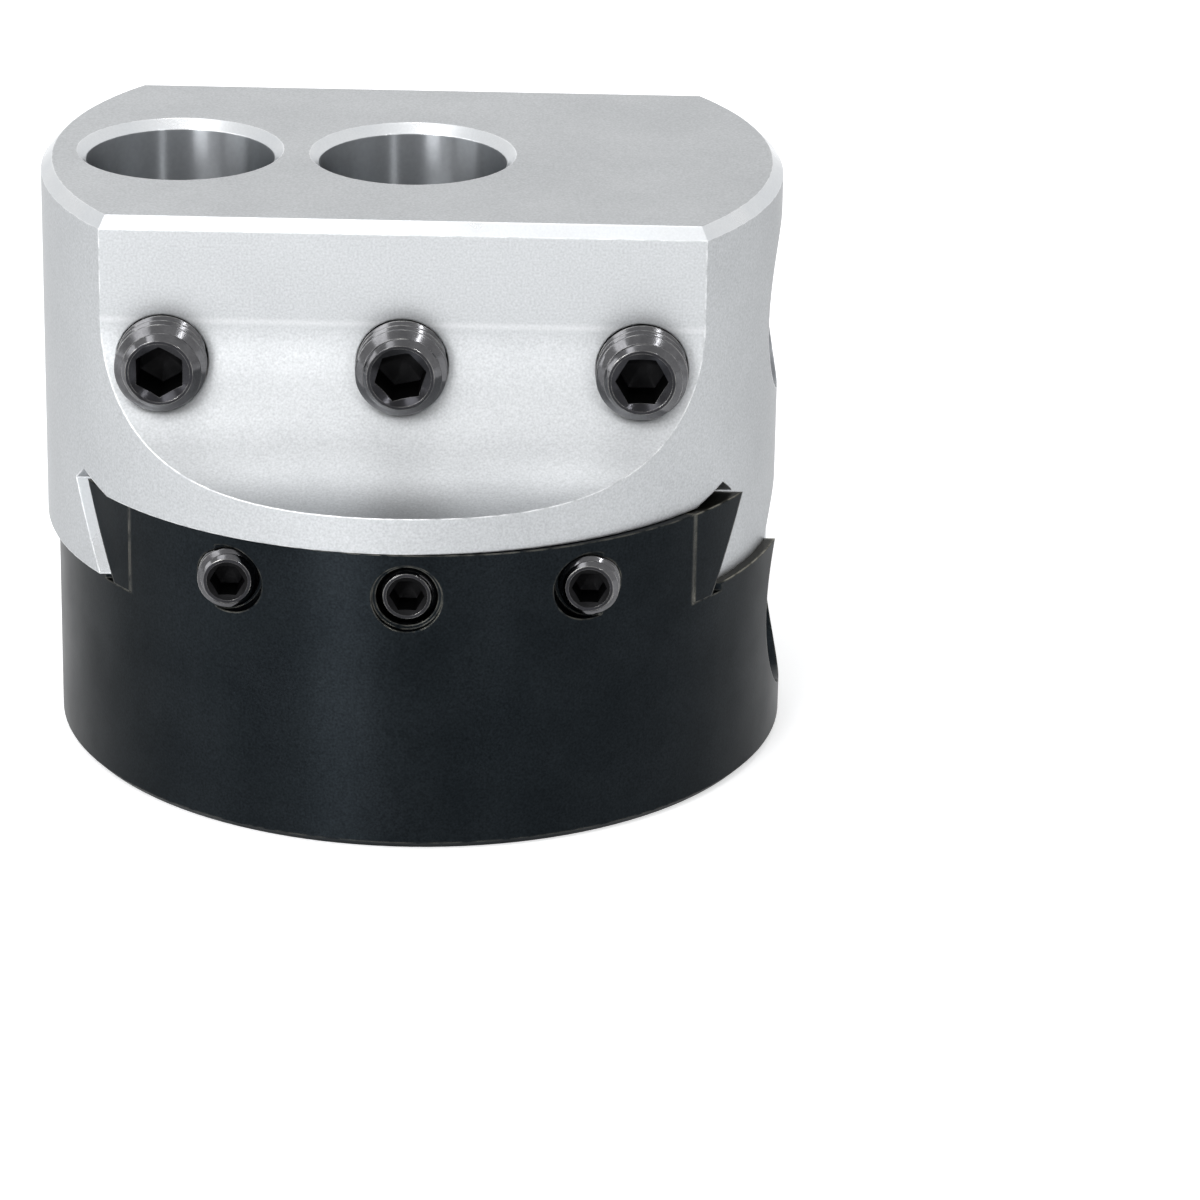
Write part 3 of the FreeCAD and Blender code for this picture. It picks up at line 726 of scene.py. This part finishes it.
class Turning:
    """A turned shape about local +Z, built ring by ring from its tip, with threads and sockets."""

    # Rows of one thread turn, as shares of the pitch: crest, flank, root, flank
    CREST_END = 0.125
    ROOT_START = 0.4375
    ROOT_END = 0.6875
    ROWS = (0.0, 0.0625, 0.125, 0.23, 0.335, 0.4375, 0.5625, 0.6875, 0.79, 0.895)
    # Radius of a socket's countersunk mouth, as a share of the radius over the hexagon's corners
    MOUTH_SHARE = 1.16
    # Half angle of the countersink, and the slope of the drill's point at the socket's end
    MOUTH_DEG, DRILL_DEG = 60.0, 31.0

    def __init__(self, columns: int, turn_deg: float = 0.0) -> None:
        """Start an empty shape.

        Args:
            columns: Points round the axis, a multiple of 12.
            turn_deg: Angle of the first column.
        """
        self.columns = columns
        self.angles = [math.radians(turn_deg) + math.tau * i / columns for i in range(columns)]
        self.points: list[Vector] = []
        self.faces: list[tuple[int, ...]] = []
        self.end_faces = 0
        self.mouth_faces = 0
        self.socket_faces = 0
        self._last: list[int] = []

    def _row(self, radii: Sequence[float], heights: Sequence[float]) -> list[int]:
        """Add one row of points.

        Args:
            radii: Radius in each column.
            heights: Height in each column.

        Returns:
            Numbers of the new points.
        """
        start = len(self.points)
        for angle, radius, height in zip(self.angles, radii, heights):
            self.points.append(Vector((radius * math.cos(angle), radius * math.sin(angle), height)))
        return list(range(start, len(self.points)))

    def _join(self, row: list[int]) -> None:
        """Join a row to the last one and make it the last."""
        if self._last:
            for i in range(self.columns):
                j = (i + 1) % self.columns
                self.faces.append((self._last[i], self._last[j], row[j], row[i]))
        self._last = row

    def ring(self, radius: float, height: float) -> None:
        """Add a plain ring."""
        self._join(self._row([radius] * self.columns, [height] * self.columns))

    def point(self, height: float) -> None:
        """Close the shape with a point on its axis, or start it with one when no ring is made yet."""
        self.ring(0.0, height)

    def thread(self, start: float, end: float, pitch: float, outer: float, inner: float,
               limit: Callable[[float], float], inwards: bool = False) -> None:
        """Add a right-hand thread.

        Args:
            start: Height at which it starts.
            end: Height at which it ends.
            pitch: Rise of one turn.
            outer: Larger radius of the thread.
            inner: Smaller radius of the thread.
            limit: Radius that a chamfer leaves at a height.
            inwards: True for a thread in a hole, whose crests point to the axis.
        """
        crest, root = (inner, outer) if inwards else (outer, inner)
        clip = max if inwards else min

        def radius_at(phase: float, height: float) -> float:
            """Radius of the thread at a share of its turn and a height."""
            if phase < self.CREST_END:
                plain = crest
            elif phase < self.ROOT_START:
                plain = crest + (root - crest) * (phase - self.CREST_END) / (self.ROOT_START - self.CREST_END)
            elif phase < self.ROOT_END:
                plain = root
            else:
                plain = root + (crest - root) * (phase - self.ROOT_END) / (1.0 - self.ROOT_END)
            return clip(plain, limit(height))

        turns = math.ceil((end - start) / pitch) + 2
        rows = []
        for turn in range(turns):
            for share in self.ROWS:
                radii, heights = [], []
                for i in range(self.columns):
                    rise = i / self.columns
                    height = min(max(start + (turn - 1 + share + rise) * pitch, start), end)
                    phase = ((height - start) / pitch - rise) % 1.0
                    if start < height < end:
                        phase = share
                    radii.append(radius_at(phase, height))
                    heights.append(height)
                rows.append(self._row(radii, heights))
        if self._last:
            self._join(rows[0])
        last, step = len(rows) - 1, len(self.ROWS)
        for r in range(last):
            for i in range(self.columns - 1):
                self.faces.append((rows[r][i], rows[r][i + 1], rows[r + 1][i + 1], rows[r + 1][i]))
            across, above = rows[min(r + step, last)][0], rows[min(r + 1 + step, last)][0]
            self.faces.append((rows[r][-1], across, above, rows[r + 1][-1]))
        self._last = rows[last]

    def hex_socket(self, top: float, across_flats: float, depth: float) -> None:
        """Add a hexagonal socket with a countersunk mouth, going down from a flat end.

        Args:
            top: Height of the flat end.
            across_flats: Size of the key.
            depth: Depth of the flats.
        """
        corner = across_flats / math.sqrt(3)
        mouth = corner * self.MOUTH_SHARE
        walls = []
        for i in range(self.columns):
            off_corner = (360.0 * i / self.columns) % 60.0 - 30.0
            walls.append(across_flats / 2 / math.cos(math.radians(off_corner)))
        self.end_faces = len(self.faces)
        self.ring(mouth, top)
        self.mouth_faces = len(self.faces)
        slope = math.tan(math.radians(self.MOUTH_DEG))
        self._join(self._row(walls, [top - (mouth - wall) / slope for wall in walls]))
        self.socket_faces = len(self.faces)
        self._join(self._row(walls, [top - depth] * self.columns))
        self.point(top - depth - across_flats / 2 * math.tan(math.radians(self.DRILL_DEG)))


# Sub-assemblies


@dataclass(frozen=True)
class ScrewSize:
    """Sizes of a socket set screw.

    Attributes:
        radius: Radius of the thread.
        length: Length from tip to end.
        pitch: Pitch of the thread.
        hex_size: Size of the key.
        socket_depth: Depth of the socket.
        end_chamfer: Chamfer on the socket's end.
        tip_radius: Radius of the tip.
        columns: Points round the axis.
    """

    radius: float
    length: float
    pitch: float
    hex_size: float
    socket_depth: float
    end_chamfer: float
    tip_radius: float
    columns: int


@dataclass(frozen=True)
class SetScrew:
    """Socket set screw with a rolled thread, a chamfered end and a cup point.

    Attributes:
        node: Node that it stands for.
        body: Body that it rides on.
        size: Its sizes.
        tip: Middle of its tip.
        heading: Direction from its tip to its socket.
        turn_deg: Turn of the socket.
        mouth_in_painted_shade: Whether the socket's painted shade covers its countersink too.
    """

    # Radius and depth of the tip's cup, as shares of the tip's radius
    CUP_RADIUS, CUP_DEPTH = 0.8, 0.35
    # Depth of the thread, as a share of its pitch
    THREAD_DEPTH = 0.6

    node: str
    body: str
    size: ScrewSize
    tip: Vector
    heading: Vector
    turn_deg: float = 0.0
    mouth_in_painted_shade: bool = False

    def build(self) -> None:
        """Make the screw in place of its node."""
        size = self.size
        shape = Turning(size.columns, self.turn_deg)
        end_start = size.length - size.end_chamfer

        def limit(height: float) -> float:
            """Radius that the chamfers of the tip and the end leave at a height."""
            return min(size.tip_radius + height, size.radius - max(0.0, height - end_start), size.radius)

        shape.point(size.tip_radius * self.CUP_DEPTH)
        shape.ring(size.tip_radius * self.CUP_RADIUS, 0.0)
        shape.ring(size.tip_radius, 0.0)
        root = size.radius - self.THREAD_DEPTH * size.pitch
        shape.thread(0.0, size.length, size.pitch, size.radius, root, limit)
        shape.hex_socket(size.length, size.hex_size, size.socket_depth)
        turn = Axis.Z.vector.rotation_difference(self.heading).to_matrix().to_4x4()
        place = Matrix.Translation(self.tip) @ turn
        # The ends take a copy of the oxide painted darker as shade, and the socket a near black painted
        # shade.
        socket_shade_start = shape.mouth_faces if self.mouth_in_painted_shade else shape.socket_faces
        further = ((shape.end_faces, material_of(SCREW_END_PAINTED_SHADE)), (socket_shade_start, material_of(SOCKET_PAINTED_SHADE)))
        oxide = material_of(SCREW_OXIDE)
        piece = make_piece(f"{self.node}_threaded", shape.points, shape.faces, oxide, place, further)
        settle(piece, self.body, "black_screws", self.node)


@dataclass(frozen=True)
class HeadBody:
    """The round body: its threaded socket for the shank and its index line.

    Attributes:
        socket_radius: Larger radius of the shank's thread.
        socket_depth: Depth of the shank's socket.
        thread_pitch: Pitch of the shank's thread, 18 turns to the inch.
        thread_height: Height of the thread in the socket.
        index_from_y: Side of the index line next to the dial.
        index_to_y: Other end of the index line.
        index_width: Width of the index line.
        channel_floor: Height of the dovetail channel's floor.
    """

    # Points round the thread, and its distances from the socket's wall and from the socket's ends
    COLUMNS, WALL_GAP, END_GAP = 96, 0.01, 0.15
    # Height and depth of the line's paint at the body's surface, and the steps it is bent in
    PAINT_RISE, PAINT_DEPTH, PAINT_STEPS = 0.015, 0.05, 8
    # Part of a face's direction along Z beyond which it is level
    LEVEL = 0.99

    socket_radius: float = 19.05
    socket_depth: float = 13.5
    thread_pitch: float = 25.4 / 18
    thread_height: float = 0.8
    index_from_y: float = 16.0
    index_to_y: float = 19.4
    index_width: float = 0.3
    channel_floor: float = 30.2

    def build(self) -> None:
        """Dress the body and add its thread and its index line."""
        body = dress("body", material_of(BLACK_OXIDE))
        finish_faces(body, material_of(FACED_OXIDE), lambda middle, facing: abs(facing.z) > self.LEVEL)
        # The channel's floor takes the rubbed oxide with its painted rim highlight.
        finish_faces(body, material_of(RUBBED_OXIDE_AND_RIM_HIGHLIGHT), lambda middle, facing: (
            facing.z > self.LEVEL and abs(middle.z - self.channel_floor) < SLACK))
        self._socket_thread()
        self._index_line()

    def _socket_thread(self) -> None:
        """Cut thread of the socket that takes the shank."""
        shape = Turning(self.COLUMNS)
        outer, inner = self.socket_radius - self.WALL_GAP, self.socket_radius - self.thread_height
        start, end = self.END_GAP, self.socket_depth - self.END_GAP
        shape.ring(outer, start)
        shape.thread(start, end, self.thread_pitch, outer, inner,
                     lambda height: outer - (height - start), inwards=True)
        shape.ring(outer, end)
        shape.ring(outer, start)
        piece = make_piece("shank_socket_thread", shape.points, shape.faces, material_of(TURNED_STEEL))
        settle(piece, "mount_body", "black_oxide_body")

    def _index_line(self) -> None:
        """Line beside the dial that its marks are read against."""
        radius, half, steps = HEAD_RADIUS + self.PAINT_RISE, self.index_width / 2, self.PAINT_STEPS
        points, faces = [], []
        for i in range(steps + 1):
            y = self.index_from_y + (self.index_to_y - self.index_from_y) * i / steps
            for side in (-half, half):
                for reach in (radius - self.PAINT_DEPTH, radius):
                    points.append(Vector((math.sqrt(reach * reach - y * y), y, FEED_HEIGHT + side)))
        for i in range(steps):
            a, b = 4 * i, 4 * (i + 1)
            for j, k in ((1, 3), (3, 2), (2, 0), (0, 1)):
                faces.append((a + j, a + k, b + k, b + j))
        faces += [(0, 1, 3, 2), (4 * steps, 4 * steps + 1, 4 * steps + 3, 4 * steps + 2)]
        piece = make_piece("index_line", points, faces, material_of(PALE_MARKS))
        settle(piece, "mount_body", "black_oxide_body")


@dataclass(frozen=True)
class Gib:
    """Strip between the front wall and the slide, ground where the slide rubs on it and black elsewhere.

    Attributes:
        end_reach: Distance from the head's axis beyond which a face belongs to an end.
        square: Part of a face's direction along an axis beyond which it is square to it.
    """

    end_reach: float = 49.0
    square: float = 0.9

    def build(self) -> None:
        """Dress the gib."""
        gib = dress("gib", material_of(GROUND_STEEL))
        finish_faces(gib, material_of(BLACK_OXIDE), lambda middle, facing: (
            math.hypot(middle.x, middle.y) > self.end_reach or facing.y < -self.square))
        finish_faces(gib, material_of(RUBBED_OXIDE_AND_RIM_HIGHLIGHT), lambda middle, facing: facing.z > self.square)


@dataclass(frozen=True)
class BarHolder:
    """The slide: blasted outside, bored inside, ground on its ways and milled on its top edges.

    Attributes:
        bore_places: Places of the upright bores along X.
        bore_radius: Radius of the bores.
        bore_floor: Height of the bores' floors.
        mouth: Width of the chamfers on the bores.
        cross_start: Place along X where the cross bore starts.
        chamfer_drop: Height of the chamfer along the top edges.
        sole_top: Height of the slide's shoulders over the body.
        flank_reach: Distance from the middle within which a steep low face is a dovetail flank.
    """

    # Parts of a face's direction: along Y on a steep flank, and along Z on an underside, on a
    # chamfer and on a flat top
    FLANK, UNDERSIDE, CHAMFER, TOP = 0.8, -0.3, 0.4, 0.9

    bore_places: tuple[float, ...] = (CLAMP_PLACES["offset_bore"], CLAMP_PLACES["centre_bore"])
    bore_radius: float = 12.7
    bore_floor: float = 40.3
    mouth: float = 1.3
    cross_start: float = 14.5
    chamfer_drop: float = 1.6
    sole_top: float = 42.0
    flank_reach: float = 31.0

    def build(self) -> None:
        """Dress the slide."""
        slide = dress("bar_holder", material_of(BLASTED_NICKEL))
        finish_faces(slide, material_of(GROUND_STEEL), self._on_ways)
        finish_faces(slide, material_of(MILLED_EDGE), self._on_top_edge)
        finish_faces(slide, material_of(BORED_STEEL), self._in_upright_bore)
        finish_faces(slide, material_of(CROSS_BORED_STEEL), self._in_cross_bore)

    def _on_ways(self, middle: Vector, facing: Vector) -> bool:
        """Tell whether a face is a dovetail flank or an underside."""
        flank = abs(facing.y) > self.FLANK and abs(middle.y) < self.flank_reach
        return middle.z < self.sole_top and (facing.z < self.UNDERSIDE or flank)

    def _on_top_edge(self, middle: Vector, facing: Vector) -> bool:
        """Tell whether a face is a chamfer along the top."""
        return middle.z > SLIDE_TOP - self.chamfer_drop and self.CHAMFER < facing.z < self.TOP

    def _in_upright_bore(self, middle: Vector, facing: Vector) -> bool:
        """Tell whether a face is in one of the upright bores, below its chamfer."""
        on_chamfer = facing.z > self.CHAMFER and middle.z > SLIDE_TOP - self.chamfer_drop
        if middle.z < self.bore_floor - SLACK or on_chamfer:
            return False
        reach = self.bore_radius + self.mouth
        return any(math.hypot(middle.x - place, middle.y) < reach for place in self.bore_places)

    def _in_cross_bore(self, middle: Vector, facing: Vector) -> bool:
        """Tell whether a face is in the cross bore or on its chamfer."""
        reach = math.hypot(middle.y, middle.z - CLAMP_HEIGHT)
        return middle.x > self.cross_start - SLACK and reach < self.bore_radius + self.mouth


@dataclass(frozen=True)
class Clamping:
    """The three large screws that clamp the boring bars.

    Attributes:
        tip_y: Place of the tips along Y.
        turns_deg: Turn of each socket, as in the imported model.
        size: Sizes of one screw.
    """

    tip_y: float = -16.5
    turns_deg: tuple[tuple[str, float], ...] = (
        ("offset_bore", 30.0), ("centre_bore", 13.0), ("cross_bore", 0.0),
    )
    size: ScrewSize = ScrewSize(
        radius=6.0, length=20.0, pitch=1.75, hex_size=6.0, socket_depth=6.5, end_chamfer=1.6,
        tip_radius=4.4, columns=72,
    )

    def build(self) -> None:
        """Make the three screws."""
        for bore, turn in self.turns_deg:
            tip = Vector((CLAMP_PLACES[bore], self.tip_y, CLAMP_HEIGHT))
            SetScrew(
                f"clamp_screw_{bore}", f"{bore}_screw", self.size, tip, -Axis.Y.vector, turn).build()


@dataclass(frozen=True)
class GibAdjustment:
    """The three small screws that press the gib on the slide, the middle one longer.

    Attributes:
        spacing: Distance between neighbours.
        tip_y: Place of the tips along Y.
        size: Sizes of the outer two.
        middle_length: Length of the one between them.
    """

    spacing: float = 23.6
    tip_y: float = -33.05
    size: ScrewSize = ScrewSize(
        radius=4.0, length=12.0, pitch=1.25, hex_size=4.0, socket_depth=4.5, end_chamfer=0.9,
        tip_radius=2.8, columns=60,
    )
    middle_length: float = 16.0

    def build(self) -> None:
        """Make the three screws."""
        for step, side in ((-1, "left"), (0, "middle"), (1, "right")):
            size = replace(self.size, length=self.middle_length) if side == "middle" else self.size
            tip = Vector((step * self.spacing, self.tip_y, GIB_SCREW_HEIGHT))
            # The gib screws' countersinks take the sockets' painted shade too.
            SetScrew(
                f"gib_screw_{side}", f"{side}_gib_screw", size, tip, -Axis.Y.vector,
                mouth_in_painted_shade=True).build()


@dataclass(frozen=True)
class ShankLock:
    """Screw and soft pad that lock the shank's thread.

    Attributes:
        height: Height of the screw over the rear face.
        tip_y: Place of the screw's tip.
        size: Sizes of the screw.
    """

    height: float = 6.5
    tip_y: float = 23.85
    size: ScrewSize = ScrewSize(
        radius=3.0, length=10.0, pitch=1.0, hex_size=3.0, socket_depth=3.5, end_chamfer=0.6,
        tip_radius=2.0, columns=48,
    )

    def build(self) -> None:
        """Make the screw and dress the pad."""
        tip = Vector((0.0, self.tip_y, self.height))
        SetScrew("shank_lock_screw", "shank_screw", self.size, tip, Axis.Y.vector).build()
        dress("shank_lock_pad", material_of(SOFT_BRASS))


@dataclass(frozen=True)
class FeedScrew:
    """Feed screw that the dial turns: a fine thread, a thrust collar and a socket for a key.

    Attributes:
        thread_pitch: Travel of one turn.
        thread_radius: Radius of the feed thread.
        thread_depth: Depth of the thread.
        journal_radius: Radius of the far end's journal.
        journal_length: Length of the journal.
        collar_radius: Radius of the thrust collar.
        collar_span: Places where the collar starts and ends along X.
        head_radius: Radius of the head that carries the dial.
        chamfers: Chamfers on the journal and on the head.
        hex_size: Size of the key.
        socket_depth: Depth of the key's socket.
        columns: Points round the screw's axis.
    """

    thread_pitch: float = 1.27
    thread_radius: float = 4.5
    thread_depth: float = 0.7
    journal_radius: float = 3.5
    journal_length: float = 6.3
    collar_radius: float = 7.4
    collar_span: tuple[float, float] = (28.9, 32.9)
    head_radius: float = 5.0
    chamfers: tuple[float, float] = (0.4, 0.3)
    hex_size: float = 5.0
    socket_depth: float = 6.0
    columns: int = 60

    def build(self) -> None:
        """Make the screw in place of its node."""
        start, end = (corner.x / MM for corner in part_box("lead_screw"))
        thread_start = start + self.journal_length
        collar_start, collar_end = self.collar_span
        end_chamfer, head_chamfer = self.chamfers
        shape = Turning(self.columns)
        shape.point(start)
        shape.ring(self.journal_radius - end_chamfer, start)
        shape.ring(self.journal_radius, start + end_chamfer)
        shape.ring(self.journal_radius, thread_start)
        root = self.thread_radius - self.thread_depth
        shape.thread(thread_start, collar_start, self.thread_pitch, self.thread_radius, root,
                     lambda height: self.journal_radius + (height - thread_start))
        for radius, x in (
                (self.thread_radius, collar_start), (self.collar_radius, collar_start),
                (self.collar_radius, collar_end), (self.head_radius, collar_end),
                (self.head_radius, end - head_chamfer), (self.head_radius - head_chamfer, end)):
            shape.ring(radius, x)
        shape.hex_socket(end, self.hex_size, self.socket_depth)
        turn = Axis.Z.vector.rotation_difference(Axis.X.vector).to_matrix().to_4x4()
        place = Matrix.Translation(Vector((0.0, 0.0, FEED_HEIGHT))) @ turn
        # Near black painted shade down in the key's socket.
        further = ((shape.socket_faces, material_of(SOCKET_PAINTED_SHADE)),)
        steel = material_of(TURNED_STEEL)
        piece = make_piece("lead_screw_threaded", shape.points, shape.faces, steel, place, further)
        settle(piece, "feed_screw", "turned_steel", "lead_screw")


@dataclass(frozen=True)
class Dial:
    """Dial on the feed screw's head, with its painted marks and its set screw.

    Attributes:
        face: Place of its face along X.
        radius: Its radius.
        bevel: Size of the bevel with the graduations.
        divisions: Number of graduations.
        zero_turn: Number of graduations by which zero is turned away from upright.
        mark_start: Start of the graduations, as a share of the bevel.
        mark_ends: Ends of the plain, fifth and tenth graduations, as shares of the bevel.
        mark_halves: Half widths of the plain graduations and of the others.
        mark_rise: How far paint stands over the face.
        numeral_size: Font size of the numerals.
        numeral_radius: Distance of their middle from the dial's axis.
        screw: Sizes of the set screw.
        screw_tip: Place of that screw's tip along X, and its distance from the dial's axis.
    """

    face: float = 47.4
    radius: float = 14.3
    bevel: float = 2.4
    divisions: int = 50
    zero_turn: float = 12.5
    mark_start: float = 0.02
    mark_ends: tuple[float, float, float] = (0.5, 0.75, 0.95)
    mark_halves: tuple[float, float] = (0.09, 0.13)
    mark_rise: float = 0.02
    numeral_size: float = 3.22
    numeral_radius: float = 9.7
    screw: ScrewSize = ScrewSize(
        radius=1.5, length=6.0, pitch=0.5, hex_size=1.5, socket_depth=2.0, end_chamfer=0.3,
        tip_radius=1.2, columns=36,
    )
    screw_tip: tuple[float, float] = (42.2, 5.05)

    def build(self) -> None:
        """Dress the dial, paint its marks and make its set screw."""
        dress("dial", material_of(SATIN_CHROME))
        self._graduations()
        self._numerals()
        along, off_axis = self.screw_tip
        tip = Vector((along, 0.0, FEED_HEIGHT + off_axis))
        SetScrew("dial_set_screw", "feed_screw", self.screw, tip, Axis.Z.vector).build()

    def _point(self, radius: float, angle: float, x: float) -> Vector:
        """Point on the dial.

        Args:
            radius: Distance from its axis.
            angle: Angle from upright, towards -Y, in radians.
            x: Place along its axis.

        Returns:
            The point in the model's frame.
        """
        return Vector((x, -radius * math.sin(angle), FEED_HEIGHT + radius * math.cos(angle)))

    def _mark_angle(self, step: int) -> float:
        """Angle of a graduation from upright, in radians."""
        return math.tau * (step + self.zero_turn) / self.divisions

    def _graduations(self) -> None:
        """Fifty painted lines on the dial's bevel, longer at every fifth and tenth."""
        points: list[Vector] = []
        faces: list[tuple[int, ...]] = []
        rise = self.mark_rise / math.sqrt(2)
        for step in range(self.divisions):
            # 0 for a plain line, 1 for a fifth and 2 for a tenth
            rank = (step % 5 == 0) + (step % 10 == 0)
            half = self.mark_halves[min(rank, 1)]
            start = len(points)
            for share in (self.mark_start, self.mark_ends[rank]):
                radius = self.radius - self.bevel * share
                x = self.face - self.bevel * (1 - share)
                for side in (-half, half):
                    angle = self._mark_angle(step) + side / radius
                    for lift in (-rise, rise):
                        points.append(self._point(radius + lift, angle, x + lift))
            for corners in (
                    (0, 1, 3, 2), (4, 6, 7, 5), (1, 5, 7, 3), (0, 2, 6, 4), (0, 4, 5, 1), (2, 3, 7, 6)):
                faces.append(tuple(start + corner for corner in corners))
        piece = make_piece("dial_graduations", points, faces, material_of(DARK_MARKS))
        settle(piece, "feed_screw", "satin_dial")

    def _numerals(self) -> None:
        """Plain numerals 0 to 40 at every tenth graduation, read from outside the dial."""
        for step in range(0, self.divisions, 10):
            name = f"dial_numeral_{step}"
            curve = bpy.data.curves.new(name, "FONT")
            curve.body = str(step)
            curve.size = self.numeral_size * MM
            curve.extrude = self.mark_rise * MM
            curve.align_x = "CENTER"
            curve.align_y = "CENTER"
            text = bpy.data.objects.new(name, curve)
            bpy.context.collection.objects.link(text)
            graph = bpy.context.evaluated_depsgraph_get()
            mesh = bpy.data.meshes.new_from_object(text.evaluated_get(graph))
            bpy.data.objects.remove(text)
            angle = self._mark_angle(step)
            outwards = Vector((0.0, -math.sin(angle), math.cos(angle)))
            across = outwards.cross(Axis.X.vector)
            turn = Matrix((across, outwards, Axis.X.vector)).transposed().to_4x4()
            middle = self._point(self.numeral_radius, angle, self.face) * MM
            mesh.transform(Matrix.Translation(middle) @ turn)
            mesh.materials.clear()
            mesh.materials.append(material_of(DARK_MARKS))
            numeral = bpy.data.objects.new(name, mesh)
            bpy.context.collection.objects.link(numeral)
            settle(numeral, "feed_screw", "satin_dial")


class FeedBearing:
    """Rest of the feed: the thrust washers and their retainer, and the half nut with what holds it."""

    def build(self) -> None:
        """Dress the bearing and the half nut."""
        for name in ("thrust_washer_inner", "thrust_washer_outer", "feed_nut"):
            dress(name, material_of(BEARING_BRONZE))
        for name in ("bearing_retainer", "feed_nut_dowels"):
            dress(name, material_of(TURNED_STEEL))
        dress("feed_nut_screws", material_of(SCREW_OXIDE))


# The studio


@dataclass(frozen=True)
class SoftBox:
    """Soft light that points at the middle of the head's body.

    Attributes:
        name: Name of the light.
        place: Where it stands, in metres.
        width: Its width, in metres.
        height: Its height, in metres.
        power: Its power, in watts.
    """

    name: str
    place: tuple[float, float, float]
    width: float
    height: float
    power: float

    def build(self, target: Vector) -> None:
        """Add the light.

        Args:
            target: Point that it faces.
        """
        light = bpy.data.lights.new(self.name, "AREA")
        light.shape = "RECTANGLE"
        light.size = self.width
        light.size_y = self.height
        light.energy = self.power
        lamp = bpy.data.objects.new(self.name, light)
        lamp.location = self.place
        lamp.rotation_euler = (target - Vector(self.place)).to_track_quat("-Z", "Y").to_euler()
        bpy.context.collection.objects.link(lamp)


@dataclass(frozen=True)
class Studio:
    """White sweep, soft lights and the camera that looks down on the head from its front.

    Attributes:
        eye: Place of the camera, in millimetres.
        turn_deg: Camera's turn to the left of the head's front.
        tilt_deg: Angle at which it looks down.
        roll_deg: Its roll about its own axis.
        lens: Focal length, in millimetres.
        sensor: Width of the sensor, in millimetres.
        sky: Light of the world on matt surfaces, as a share of white.
        floor_side: Length of the floor's side, in metres.
        aim: Point that the lights face, in metres.
        lights: The soft lights.
    """

    eye: tuple[float, float, float] = (27.74, -695.99, 299.66)
    turn_deg: float = 0.24
    tilt_deg: float = 22.19
    roll_deg: float = 1.07
    lens: float = 161.82
    sensor: float = 36.0
    sky: float = 0.5
    floor_side: float = 8.0
    aim: tuple[float, float, float] = (0.0, 0.0, 0.04)
    lights: tuple[SoftBox, ...] = (
        SoftBox("soft_light_low_front", (-0.52, -1.36, 0.24), 0.42, 0.42, 6.2),
        SoftBox("soft_light_left", (-1.35, -0.55, 0.45), 0.8, 0.8, 5.2),
        SoftBox("soft_light_above", (-0.1, 0.16, 1.5), 0.6, 0.8, 3.4),
        SoftBox("soft_light_behind", (-0.25, 1.4, 0.62), 0.8, 0.8, 1.35),
        SoftBox("soft_light_front", (-0.56, -0.82, 1.0), 0.7, 1.0, 7.6),
        SoftBox("strip_light_right", (0.66, -1.24, 0.8), 0.03, 0.55, 2.2),
    )

    def build(self) -> None:
        """Make the floor, the light and the camera."""
        self._floor()
        self._sky()
        for light in self.lights:
            light.build(Vector(self.aim))
        self._camera()
        bpy.context.scene.view_settings.view_transform = "Standard"
        log.info("made the floor, %d lights and the camera", len(self.lights))

    def _floor(self) -> None:
        """White floor under the head."""
        half = self.floor_side / 2 / MM
        corners = ((-half, -half), (half, -half), (half, half), (-half, half))
        points = [Vector((x, y, 0.0)) for x, y in corners]
        floor = make_piece("studio_floor", points, [(0, 1, 2, 3)], material_of(PaperSweep()))

    def _sky(self) -> None:
        """Even white surroundings: full white where they are seen, softer where they light."""
        world = bpy.data.worlds.new("studio_surroundings")
        world.use_nodes = True
        tree = world.node_tree
        tree.nodes.clear()
        shown = seen_directly(tree)
        strength = add_node(tree, "MapRange", {"Value": shown, "To Min": self.sky, "To Max": 1.0})
        light = add_node(tree, "Background", {"Color": linear("#FFFFFF"), "Strength": strength})
        add_node(tree, "OutputWorld", {"Surface": light})
        bpy.context.scene.world = world

    def _camera(self) -> None:
        """Camera at the photograph's viewing angle."""
        turn, tilt, roll = (math.radians(v) for v in (self.turn_deg, self.tilt_deg, self.roll_deg))
        ahead = Vector((-math.sin(turn) * math.cos(tilt), math.cos(turn) * math.cos(tilt), -math.sin(tilt)))
        level = Vector((math.cos(turn), math.sin(turn), 0.0))
        upright = level.cross(ahead)
        right = math.cos(roll) * level + math.sin(roll) * upright
        up = -math.sin(roll) * level + math.cos(roll) * upright
        lens = bpy.data.cameras.new("front_camera")
        lens.lens = self.lens
        lens.sensor_width = self.sensor
        camera = bpy.data.objects.new("front_camera", lens)
        pose = Matrix((right, up, -ahead)).transposed().to_4x4()
        camera.matrix_world = Matrix.Translation(Vector(self.eye) * MM) @ pose
        bpy.context.collection.objects.link(camera)
        bpy.context.scene.camera = camera


def main() -> None:
    """Build the head's sub-assemblies and its studio in order."""
    parts = (
        HeadBody(), Gib(), BarHolder(), Clamping(), GibAdjustment(), ShankLock(), FeedScrew(), Dial(),
        FeedBearing(), Studio(),
    )
    for part in parts:
        part.build()
        log.info("finished %s", type(part).__name__)


if __name__ == "__main__":
    main()
